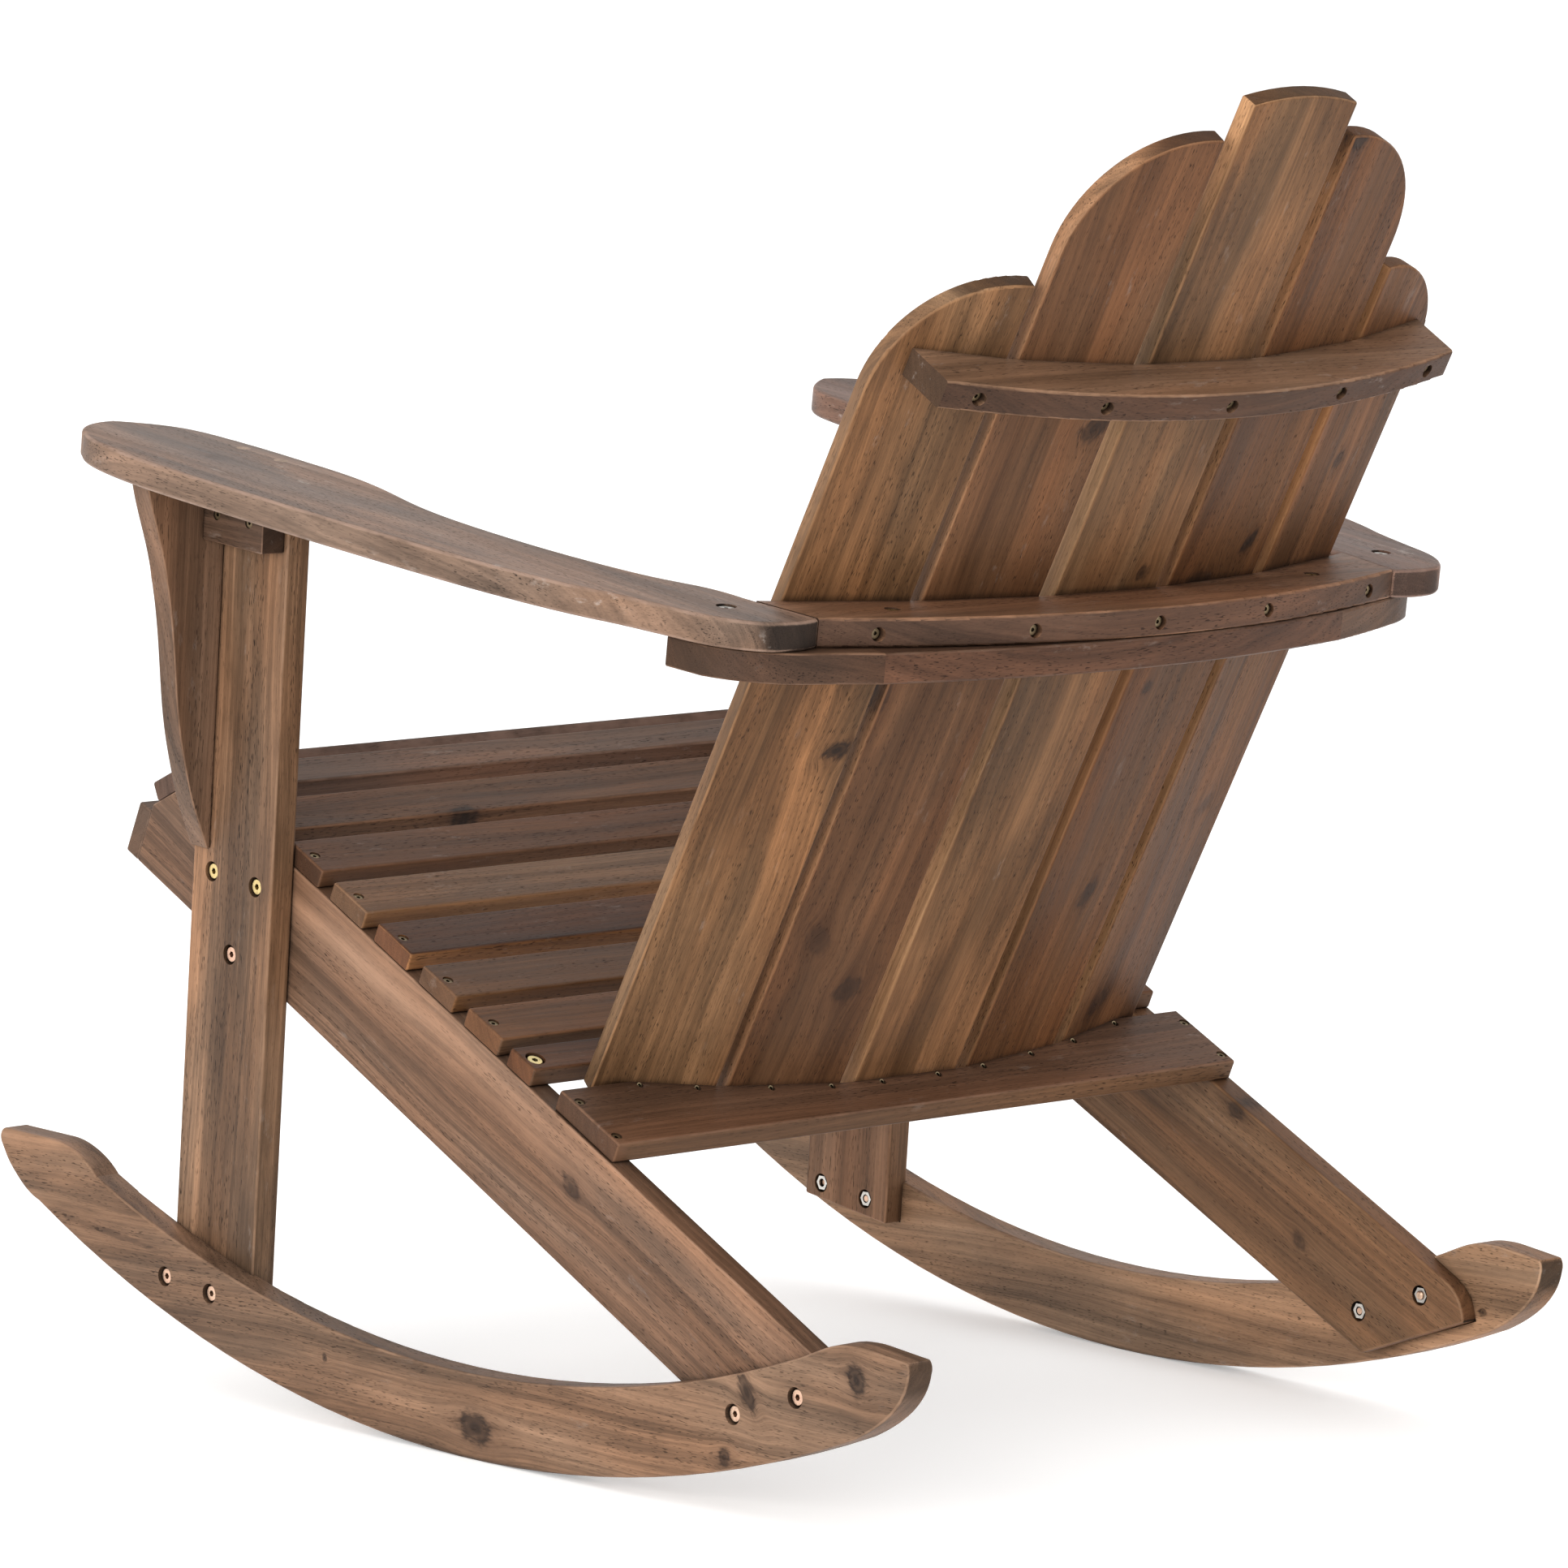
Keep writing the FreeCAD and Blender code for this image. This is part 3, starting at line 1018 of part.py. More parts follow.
for side in ("left", "right"):
    sgn = 1 if side == "left" else -1
    bore(slat_objs["seat_rail_" + side], F_N, [Vector(sgn * 271.0, 30.0, 1.0)], Vector(0, 0, -1),
         d("screw_hole"), 23.0, "nose_screw_hole")
    bore(slat_objs["seat_rail_" + side], F_S, [Vector(sgn * 271.0, 196.5, -70.0)], Vector(0, 1, 0),
         d("screw_hole"), 23.0, "apron_screw_hole")

b = new_body("front_apron", F_S)
sk = sketch_on(b, "apron_outline", F_S, Vector(-VALUE["seat_width"] / 2, 0, 0), Y1, Z1)
outline(sk, (183.0, -90.0), [("L", (197.5, -90.0)), ("L", (197.5, -50.5)), ("L", (183.0, -50.5)), ("L", None)])
pad(b, sk, d("seat_width"))
soften(b, "edge_r")
pts = [Vector(x, 183.0, -70.0) for x in (-271.0, 271.0)]
bore(b, F_S, pts, Vector(0, 1, 0), d("screw_cbore"), 4.0, "screw_heads")
bore(b, F_S, pts, Vector(0, 1, 0), d("screw_hole"), 16.0, "screw_holes")
for p in pts:
    spot("apron_screws", F_S, p + Vector(0, 1.0, 0), Vector(0, -1, 0))

# ==========================================================================
# fasteners
# ==========================================================================
hr = d("bolt_head") / 2
sr = d("bolt_shank") / 2
bolt = fastener_pattern("bolt_m6", [(0.0, 0.0), (hr - 0.8, 0.0), (hr, -0.8), (hr, -d("bolt_head_h")),
                                    (sr, -d("bolt_head_h")), (sr, -d("bolt_long") + 0.8),
                                    (sr - 0.8, -d("bolt_long")), (0.0, -d("bolt_long"))], d("bolt_socket"))
short_bolt = fastener_pattern("bolt_m6_short", [(0.0, 0.0), (hr - 0.8, 0.0), (hr, -0.8), (hr, -d("bolt_head_h")),
                                                (sr, -d("bolt_head_h")), (sr, -33.0),
                                                (sr - 0.8, -34.0), (0.0, -34.0)], d("bolt_socket"))
nut = doc.addObject("PartDesign::Body", "nut_m6")
FRAME[nut.Name] = Placement()
sk = sketch_on(nut, "nut_outline", F_W, Vector(0, 0, 0), X1, Y1)
rr = d("nut_flats") / (2 * math.cos(math.pi / 6))
pts = [(rr * math.cos(i * math.pi / 3), rr * math.sin(i * math.pi / 3)) for i in range(6)]
pts = [(p[0], p[1] if abs(p[1].v) > 1e-9 else 0.0) for p in pts]
outline(sk, pts[0], [("L", p) for p in pts[1:]] + [("L", None)])
pad(nut, sk, d("nut_h"), reverse=True)
bore(nut, F_W, [Vector(0, 0, 0)], Vector(0, 0, -1), d("bolt_shank") + 0.2, d("nut_h") + 1, "nut_bore")


def wood_screw(name, length, head=None, shank=None, flat=False):
    h = (head or d("screw_head")) / 2
    s = (shank or d("screw_shank")) / 2
    return fastener_pattern(name, [(0.0, 0.0), (h, 0.0), (h, -1.0), (s, -2.8), (s, -(length - 3.0)), (0.0, -length)],
                            Q(2.6, "2.6"), 1.2)


group("leg_bolts", "leg_bolts", bolt)
group("leg_bolt_nuts", "leg_bolt_nuts", nut)
group("rocker_front_bolts", "rocker_front_bolts", bolt)
group("rocker_front_nuts", "rocker_front_nuts", nut)
group("rocker_rear_bolts", "rocker_rear_bolts", bolt)
group("rocker_rear_nuts", "rocker_rear_nuts", nut)
group("rear_seat_rail_bolts", "rear_seat_rail_bolts", short_bolt)
s30 = wood_screw("screw_30", 30.0)
s26 = wood_screw("screw_26", 26.0)
s18 = wood_screw("screw_18", 18.0, d("screw_head") - 2.8, d("screw_shank") - 0.6)
s40 = wood_screw("screw_40", 40.0)
s42 = wood_screw("screw_42", 42.0)
s60 = wood_screw("screw_60", 60.0)
big = wood_screw("screw_big", 28.0, d("screw_head") + 3.6)
wide = wood_screw("screw_wide", 30.0, d("screw_head") + 2.4)
group("seat_slat_screws", "seat_slat_screws", s30)
group("bottom_rail_screws", "bottom_rail_screws", s30)
group("nose_slat_screws", "nose_slat_screws", s30)
group("apron_screws", "apron_screws", s30)
group("slat_foot_screws", "slat_foot_screws", s18)
group("top_rail_screws", "top_rail_screws", s40)
group("middle_rail_screws", "middle_rail_screws", s60)
group("middle_rail_top_screws", "middle_rail_top_screws", wide)
group("arm_rear_screws", "arm_rear_screws", big)
group("arm_leg_screws", "arm_leg_screws", s30)
group("bracket_screws", "bracket_screws", s26)
group("cleat_screws", "cleat_screws", s30)

plug = doc.addObject("PartDesign::Body", "plug")
FRAME[plug.Name] = Placement()
sk = sketch_on(plug, "plug_outline", F_W, Vector(), X1, Y1)
g = sk.addGeometry(Part.Circle(Vector(), Z1, VALUE["plug_d"] / 2), False)
sk.addConstraint([Sketcher.Constraint("Diameter", g, VALUE["plug_d"]), Sketcher.Constraint("Coincident", g, 3, -1, 1)])
sk.setExpression("Constraints[0]", "dims.plug_d")
pad(plug, sk, d("plug_h"), reverse=True)
group("arm_plugs", "arm_plugs", plug)

# ==========================================================================
# place the chair on its footprint and write it
# ==========================================================================
doc.recompute()
box = None
for name, ob in NODES:
    bb = ob.Shape.BoundBox
    box = bb if box is None else box.united(bb)
# bounding boxes of curved shapes carry a small margin: use the exact ones
lo = [1e9] * 3
hi = [-1e9] * 3
for name, ob in NODES:
    bb = ob.Shape.optimalBoundingBox(True, False) if hasattr(ob.Shape, "optimalBoundingBox") else ob.Shape.BoundBox
    for i, (a, c) in enumerate(((bb.XMin, bb.XMax), (bb.YMin, bb.YMax), (bb.ZMin, bb.ZMax))):
        lo[i] = min(lo[i], a)
        hi[i] = max(hi[i], c)
shift = Vector(-(lo[0] + hi[0]) / 2, -(lo[1] + hi[1]) / 2, -lo[2])
print("size %.2f x %.2f x %.2f mm" % tuple(hi[i] - lo[i] for i in range(3)))
print("shift to the row's origin: %.3f %.3f %.3f" % (shift.x, shift.y, shift.z))
for name, ob in NODES:
    ob.Placement = Placement(shift, Rotation()).multiply(ob.Placement)
doc.recompute()

bad = []
for ob in doc.Objects:
    if "Invalid" in ob.State or "Error" in ob.State:
        bad.append("%s %s" % (ob.Name, ob.State))
for name, ob in NODES:
    if ob.Shape.isNull() or not ob.Shape.isValid():
        bad.append(name + " shape")
if bad:
    print("FAILED:", bad)
    sys.exit(1)
mass, mom = 0.0, Vector()
for name, ob in NODES:
    for so in ob.Shape.Solids:
        mass += so.Volume
        mom = mom + so.CenterOfMass * so.Volume
    ob.Shape.exportStep("parts/%s.step" % name)
com = mom * (1.0 / mass)
print("nodes", len(NODES), "volume %.1f cm3" % (mass / 1000), "centre of mass %.1f %.1f %.1f" % (com.x, com.y, com.z))
print("running edge bears at y = %.1f" % (VALUE["rocker_c_y"] + shift.y))
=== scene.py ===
import bpy
import math
from mathutils import Euler, Matrix, Vector

# Rocking adirondack chair: stained boards with plated bolts, on a pale studio floor.
# Every board gets a wood of its own, laid along its own grain, from board frames
# that repeat the construction's frames in millimetres.

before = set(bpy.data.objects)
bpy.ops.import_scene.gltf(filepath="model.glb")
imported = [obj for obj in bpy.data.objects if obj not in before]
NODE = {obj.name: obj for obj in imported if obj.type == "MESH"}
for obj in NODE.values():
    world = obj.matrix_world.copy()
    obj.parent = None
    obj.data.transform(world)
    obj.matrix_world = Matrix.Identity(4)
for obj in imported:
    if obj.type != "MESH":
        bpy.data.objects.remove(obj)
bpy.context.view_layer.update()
scene = bpy.context.scene


# --------------------------------------------------------------------------
# camera: the photograph's view
# --------------------------------------------------------------------------
def look(obj, at, to):
    at, to = Vector(at), Vector(to)
    obj.location = at
    obj.rotation_mode = "QUATERNION"
    obj.rotation_quaternion = (to - at).to_track_quat("-Z", "Y")


cam_data = bpy.data.cameras.new("camera")
cam_data.sensor_width = 36.0
cam_data.lens = 189.093
cam_data.clip_start, cam_data.clip_end = 0.05, 200.0
camera = bpy.data.objects.new("camera", cam_data)
scene.collection.objects.link(camera)
look(camera, (3.62468, 4.239265, 1.09224), (0.0, -0.019735, 0.42329))
scene.camera = camera


# --------------------------------------------------------------------------
# board frames, millimetres in the row frame
# --------------------------------------------------------------------------
SHIFT = Vector((0.0, -61.185, -24.8))
LEAN, RAIL_SLOPE, BACK_SLOPE, ARM_SLOPE = 5.2857, 20.185, 65.386, 2.45
ARM_Z = 648.8
BACK_DEPTH, BACK_CURVE, HALF = 18.0, 730.0, 45.25
TOE = math.radians(2.05)


def rx(deg):
    return Matrix.Rotation(math.radians(deg), 4, "X")


F_W = Matrix.Translation(SHIFT)
F_C = F_W @ rx(-LEAN)
F_S = F_C @ Matrix.Translation((0, -515.2, 503.5)) @ rx(-RAIL_SLOPE)
F_B = F_C @ rx(BACK_SLOPE)
F_A = F_C @ Matrix.Translation((0, 0, ARM_Z)) @ rx(-ARM_SLOPE)


def board(fr, at, grain, wide):
    """Board frame: x along the grain, y across the board, z through it."""
    g, w = Vector(grain).normalized(), Vector(wide)
    w = (w - g * w.dot(g)).normalized()
    t = g.cross(w)
    local = Matrix((
        (g.x, w.x, t.x, at[0]),
        (g.y, w.y, t.y, at[1]),
        (g.z, w.z, t.z, at[2]),
        (0, 0, 0, 1)))
    return fr @ local


X, Y, Z = Vector((1, 0, 0)), Vector((0, 1, 0)), Vector((0, 0, 1))


# --------------------------------------------------------------------------
# node helpers
# --------------------------------------------------------------------------
class Tree:
    """Short hand for building node trees."""

    def __init__(self, tree):
        self.t = tree

    def node(self, kind, **kw):
        n = self.t.nodes.new(kind)
        for k, v in kw.items():
            setattr(n, k, v)
        return n

    def put(self, socket, value):
        if isinstance(value, bpy.types.NodeSocket):
            self.t.links.new(value, socket)
        elif value is not None:
            if hasattr(value, "__len__") and len(socket.default_value) == 4 and len(value) == 3:
                value = (*value, 1.0)
            socket.default_value = value

    def math(self, op, a, b=None, c=None, clamp=False):
        n = self.node("ShaderNodeMath", operation=op, use_clamp=clamp)
        for s, v in zip(n.inputs, (a, b, c)):
            if v is not None:
                self.put(s, v)
        return n.outputs[0]

    def vec(self, op, a, b=None, c=None, scale=None):
        n = self.node("ShaderNodeVectorMath", operation=op)
        for s, v in zip(n.inputs, (a, b, c)):
            if v is not None:
                self.put(s, v)
        if scale is not None:
            self.put(n.inputs["Scale"], scale)
        return n.outputs["Value"] if op in ("LENGTH", "DOT_PRODUCT", "DISTANCE") else n.outputs[0]

    def ramp(self, value, lo, hi, to_lo=0.0, to_hi=1.0, smooth=True):
        n = self.node("ShaderNodeMapRange", interpolation_type="SMOOTHSTEP" if smooth else "LINEAR")
        n.clamp = True
        for k, v in (("Value", value), ("From Min", lo), ("From Max", hi), ("To Min", to_lo), ("To Max", to_hi)):
            self.put(n.inputs[k], v)
        return n.outputs[0]

    def noise(self, vector, detail=2.0, rough=0.5, scale=1.0, dims="3D", color=False, distortion=0.0):
        n = self.node("ShaderNodeTexNoise", noise_dimensions=dims)
        self.put(n.inputs["Vector"], vector)
        n.inputs["Scale"].default_value = scale
        n.inputs["Detail"].default_value = detail
        n.inputs["Roughness"].default_value = rough
        n.inputs["Distortion"].default_value = distortion
        return n.outputs["Color"] if color else n.outputs[0]

    def split(self, v):
        n = self.node("ShaderNodeSeparateXYZ")
        self.put(n.inputs[0], v)
        return n.outputs[0], n.outputs[1], n.outputs[2]

    def join(self, x, y, z):
        n = self.node("ShaderNodeCombineXYZ")
        for s, v in zip(n.inputs, (x, y, z)):
            self.put(s, v)
        return n.outputs[0]

    def mix(self, fac, a, b, blend="MIX"):
        n = self.node("ShaderNodeMix", data_type="RGBA", blend_type=blend)
        n.clamp_factor = True
        self.put(n.inputs[0], fac)
        self.put(n.inputs[6], a)
        self.put(n.inputs[7], b)
        return n.outputs[2]


def group_tree(name, inputs, outputs):
    g = bpy.data.node_groups.new(name, "ShaderNodeTree")
    for kind, label, value in inputs:
        s = g.interface.new_socket(label, in_out="INPUT", socket_type=kind)
        if value is not None:
            s.default_value = (*value, 1.0) if kind == "NodeSocketColor" else value
    for kind, label in outputs:
        g.interface.new_socket(label, in_out="OUTPUT", socket_type=kind)
    t = Tree(g)
    gi, go = t.node("NodeGroupInput"), t.node("NodeGroupOutput")
    return g, t, gi.outputs, go.inputs


FLOAT, VECTOR, COLOR = "NodeSocketFloat", "NodeSocketVector", "NodeSocketColor"


# --------------------------------------------------------------------------
# a knot: grain flows round it, its heart is dark, its shoulders feather out
# --------------------------------------------------------------------------
def make_knot_group():
    g, t, i, o = group_tree("knot", [
        (VECTOR, "P", None), (FLOAT, "X", 0.0), (FLOAT, "Y", 0.0), (FLOAT, "RX", 10.0), (FLOAT, "RY", 6.0),
        (FLOAT, "Slant", 0.0), (FLOAT, "Heart", 1.0), (FLOAT, "Shoulder", 1.0), (FLOAT, "Seed", 0.0),
        (FLOAT, "Dark", 0.0), (FLOAT, "Soft", 0.0), (FLOAT, "Halo", 0.0), (FLOAT, "Pale", 0.0)],
        [(VECTOR, "P"), (FLOAT, "Dark"), (FLOAT, "Soft"), (FLOAT, "Pale")])
    x, y, z = t.split(i["P"])
    dx = t.math("SUBTRACT", x, i["X"])
    dy = t.math("SUBTRACT", y, i["Y"])
    dy = t.math("MULTIPLY_ADD", dx, i["Slant"], dy)
    dy = t.math("MULTIPLY_ADD", z, 0.15, dy)
    u = t.math("DIVIDE", dx, i["RX"])
    v = t.math("DIVIDE", dy, i["RY"])
    q = t.vec("LENGTH", t.join(u, v, 0.0))
    rag = t.noise(t.vec("ADD", t.join(t.math("MULTIPLY", dx, 0.11), t.math("MULTIPLY", dy, 0.30), z),
                        t.join(i["Seed"], 3.1, 7.7)), detail=3.0, rough=0.6)
    rag = t.math("SUBTRACT", rag, 0.5)
    heart = t.ramp(t.math("MULTIPLY_ADD", rag, 1.7, q), 1.5, 0.6)
    long_q = t.vec("LENGTH", t.join(t.math("MULTIPLY", u, 0.42), t.math("MULTIPLY", v, 0.62), 0.0))
    soft = t.ramp(t.math("MULTIPLY_ADD", rag, 1.1, long_q), 1.55, 0.25)
    ring = t.math("SINE", t.math("MULTIPLY_ADD", rag, 4.0, t.math("MULTIPLY", q, 9.0)))
    ring = t.math("MULTIPLY_ADD", ring, 0.12, 0.88)
    bow = t.math("MULTIPLY", t.math("MULTIPLY", long_q, long_q), -1.1)
    bow = t.math("EXPONENT", bow)
    y2 = t.math("SUBTRACT", y, t.math("MULTIPLY", t.math("MULTIPLY", bow, 0.72), dy))
    t.put(o["P"], t.join(x, y2, z))
    t.put(o["Dark"], t.math("MAXIMUM", i["Dark"], t.math("MULTIPLY", t.math("MULTIPLY", heart, i["Heart"]), ring)))
    t.put(o["Soft"], t.math("MAXIMUM", i["Soft"], t.math("MULTIPLY", soft, i["Shoulder"])))
    halo = t.math("MULTIPLY", t.ramp(t.math("MULTIPLY_ADD", rag, 1.2, long_q), 1.5, 0.55), i["Halo"])
    t.put(o["Pale"], t.math("MAXIMUM", i["Pale"], halo))
    return g


# --------------------------------------------------------------------------
# the wood
# --------------------------------------------------------------------------
def make_wood_group():
    g, t, i, o = group_tree("stained_wood", [
        (VECTOR, "P", None), (VECTOR, "Raw", None), (VECTOR, "N", None), (FLOAT, "Seed", 0.0),
        (COLOR, "Light", (0.3, 0.2, 0.1)), (COLOR, "Mid", (0.2, 0.1, 0.06)), (COLOR, "Dark", (0.08, 0.04, 0.02)),
        (COLOR, "Worn", (0.4, 0.3, 0.2)),
        (FLOAT, "Bands", 0.5), (FLOAT, "Streaks", 0.5), (FLOAT, "Fine", 0.4), (FLOAT, "Pores", 0.5),
        (FLOAT, "Clouds", 0.5), (FLOAT, "PithY", 90.0), (FLOAT, "PithZ", 60.0),
        (FLOAT, "KnotDark", 0.0), (FLOAT, "KnotSoft", 0.0), (FLOAT, "KnotPale", 0.0), (FLOAT, "Wear", 0.6),
        (FLOAT, "Scuff", 0.2), (FLOAT, "EndTone", 0.75), (COLOR, "SideStainAndLight", (1.0, 1.0, 1.0)),
        (COLOR, "FaceTone", (1.0, 1.0, 1.0))],
        [(COLOR, "Color"), (FLOAT, "Roughness"), (FLOAT, "Height")])
    p = i["P"]
    seed = t.vec("SCALE", (137.13, 71.71, 31.37), scale=i["Seed"])

    def field(sx, sy, sz, base=p, extra=(0.0, 0.0, 0.0)):
        v = t.vec("MULTIPLY", base, (1.0 / sx, 1.0 / sy, 1.0 / sz))
        return t.vec("ADD", t.vec("ADD", v, seed), extra)

    # slow wander of the grain
    w = t.noise(field(420, 110, 110), detail=2.0, color=True)
    w = t.vec("SUBTRACT", w, (0.5, 0.5, 0.5))
    pw = t.vec("MULTIPLY_ADD", w, (0.0, 26.0, 26.0), p)
    x, y, z = t.split(pw)
    ry = t.math("SUBTRACT", y, i["PithY"])
    rz = t.math("SUBTRACT", z, i["PithZ"])
    r = t.vec("LENGTH", t.join(0.0, ry, rz))
    turn = t.math("ARCTAN2", ry, rz)
    polar = t.join(x, r, t.math("MULTIPLY", turn, 60.0))

    bands = t.noise(field(1700, 27, 90, polar), detail=1.5)
    bands = t.ramp(bands, 0.30, 0.70)
    streak = t.noise(field(620, 6.5, 26, polar, (5.0, 1.0, 0.0)), detail=3.0, rough=0.6)
    streak = t.ramp(streak, 0.28, 0.72)
    thin = t.noise(field(210, 1.9, 9, polar, (9.0, 4.0, 2.0)), detail=2.0, rough=0.6)
    thin = t.ramp(thin, 0.25, 0.75, smooth=False)
    fibre = t.noise(field(34, 0.85, 0.85, pw, (1.0, 8.0, 3.0)), detail=2.0, rough=0.65)
    pore = t.noise(field(5.2, 0.72, 0.72, p, (2.0, 7.0, 1.0)), detail=0.0)
    pore_zone = t.ramp(t.noise(field(300, 9, 30, polar, (3.0, 3.0, 3.0)), detail=1.0), 0.35, 0.65)
    pore = t.math("MULTIPLY", t.ramp(pore, 0.63, 0.76), t.math("MULTIPLY_ADD", pore_zone, 0.75, 0.25))
    # cross-grain ripple: the figure is the wood's own, its shimmer a painted sheen fixed into the tone
    ripple_painted_sheen = t.noise(field(15, 60, 60, pw, (4.0, 2.0, 6.0)), detail=1.0)
    cloud = t.noise(field(180, 40, 40, i["Raw"], (6.0, 6.0, 1.0)), detail=4.0, rough=0.6)
    cloud = t.ramp(cloud, 0.3, 0.7)

    # tone from the sum of the figures
    def centred(v, gain):
        return t.math("MULTIPLY", t.math("SUBTRACT", v, 0.5), gain)

    tone = t.math("ADD", 0.5, t.math("MULTIPLY", centred(bands, 1.0), i["Bands"]))
    tone = t.math("ADD", tone, t.math("MULTIPLY", centred(streak, 0.9), i["Streaks"]))
    tone = t.math("ADD", tone, t.math("MULTIPLY", centred(thin, 0.7), i["Fine"]))
    tone = t.math("ADD", tone, t.math("MULTIPLY", centred(fibre, 1.1), i["Fine"]))
    tone = t.math("ADD", tone, centred(ripple_painted_sheen, 0.10))
    low = t.ramp(tone, 0.0, 0.5, smooth=False)
    high = t.ramp(tone, 0.5, 1.0, smooth=False)
    col = t.mix(low, i["Dark"], i["Mid"])
    col = t.mix(high, col, i["Light"])

    # stain taken up unevenly, and a drift between redder and cooler browns
    shade = t.math("MULTIPLY_ADD", centred(cloud, 0.50), i["Clouds"], 1.0)
    col = t.mix(1.0, col, t.join(shade, shade, shade), "MULTIPLY")
    drift = t.ramp(t.noise(field(240, 40, 60, pw, (8.0, 1.0, 9.0)), detail=1.0), 0.3, 0.7)
    col = t.mix(1.0, col, t.mix(drift, (1.05, 0.99, 0.93), (0.96, 1.01, 1.05)), "MULTIPLY")
    deep = t.math("SUBTRACT", 1.0, t.math("MULTIPLY", pore, t.math("MULTIPLY", i["Pores"], 0.8)))
    col = t.mix(1.0, col, t.join(deep, deep, deep), "MULTIPLY")

    # the narrow sides get a tint of their own against the wide faces: partly the stain they took, partly painted light
    # that lifts or lowers each board's sides as light reaches them
    nx, ny, nz = t.split(i["N"])
    ax, ay, az = (t.math("ABSOLUTE", v) for v in (nx, ny, nz))
    rim = t.vec("LENGTH", t.join(ax, ay, 0.0))
    plain = col
    col = t.mix(1.0, col, t.mix(t.ramp(rim, 0.60, 0.85), i["FaceTone"], i["SideStainAndLight"]), "MULTIPLY")

    # knots
    col = t.mix(t.math("MULTIPLY", i["KnotPale"], 0.6), col, i["Light"])
    feather = t.math("MULTIPLY", i["KnotSoft"], t.ramp(streak, 0.15, 0.8, 1.0, 0.35))
    col = t.mix(t.math("MULTIPLY", feather, 0.85), col, t.mix(1.0, i["Dark"], (0.62, 0.52, 0.46), "MULTIPLY"))
    col = t.mix(t.math("MULTIPLY", i["KnotDark"], 1.25, clamp=True), col, (0.019, 0.0105, 0.007))

    # end grain drinks more stain
    ends = t.ramp(ax, 0.75, 0.93)
    grit = t.noise(field(1.3, 0.8, 0.8, p, (7.0, 7.0, 7.0)), detail=1.0)
    end_tone = t.math("MULTIPLY", i["EndTone"], t.math("MULTIPLY_ADD", grit, 0.5, 0.75))
    end_col = t.mix(1.0, t.mix(0.45, plain, i["Mid"]), t.join(end_tone, end_tone, end_tone), "MULTIPLY")
    col = t.mix(ends, col, end_col)

    # sanded edges have lost some stain, more where hands and crates have rubbed
    flat = t.math("MAXIMUM", rim, az)
    edge = t.ramp(flat, 0.985, 0.86)
    rub = t.noise(field(38, 20, 20, i["Raw"], (1.0, 2.0, 8.0)), detail=3.0, rough=0.65)
    rub = t.ramp(rub, 0.36, 0.66)
    rub = t.math("MULTIPLY", t.math("MULTIPLY", edge, i["Wear"]), t.math("MULTIPLY_ADD", rub, 0.8, 0.2))
    col = t.mix(rub, col, i["Worn"])

    # pale scuffs
    sc = t.noise(field(24, 9, 9, i["Raw"], (2.0, 5.0, 5.0)), detail=4.0, rough=0.7)
    sc2 = t.noise(field(130, 50, 50, i["Raw"], (9.0, 5.0, 2.0)), detail=1.0)
    sc = t.math("MULTIPLY", t.ramp(sc, 0.58, 0.72), t.ramp(sc2, 0.48, 0.66))
    sc = t.math("MULTIPLY", sc, i["Scuff"])
    col = t.mix(sc, col, t.mix(0.55, col, (0.42, 0.36, 0.32)))

    t.put(o["Color"], col)
    rough = t.math("MULTIPLY_ADD", cloud, 0.14, 0.44)
    rough = t.math("ADD", rough, t.math("MULTIPLY", pore, 0.2))
    rough = t.math("ADD", rough, t.math("MULTIPLY", ends, 0.2))
    rough = t.math("ADD", rough, t.math("MULTIPLY", centred(fibre, 0.25), 1.0))
    t.put(o["Roughness"], rough)
    height = t.math("ADD", t.math("MULTIPLY", fibre, 0.30), t.math("MULTIPLY", thin, 0.35))
    height = t.math("SUBTRACT", height, t.math("MULTIPLY", pore, 0.55))
    height = t.math("SUBTRACT", height, t.math("MULTIPLY", i["KnotDark"], 0.6))
    t.put(o["Height"], height)
    return g


KNOT, WOOD = make_knot_group(), make_wood_group()


def mul(c, k):
    if not hasattr(k, "__len__"):
        k = (k, k, k)
    return tuple(min(1.0, a * b) for a, b in zip(c, k))


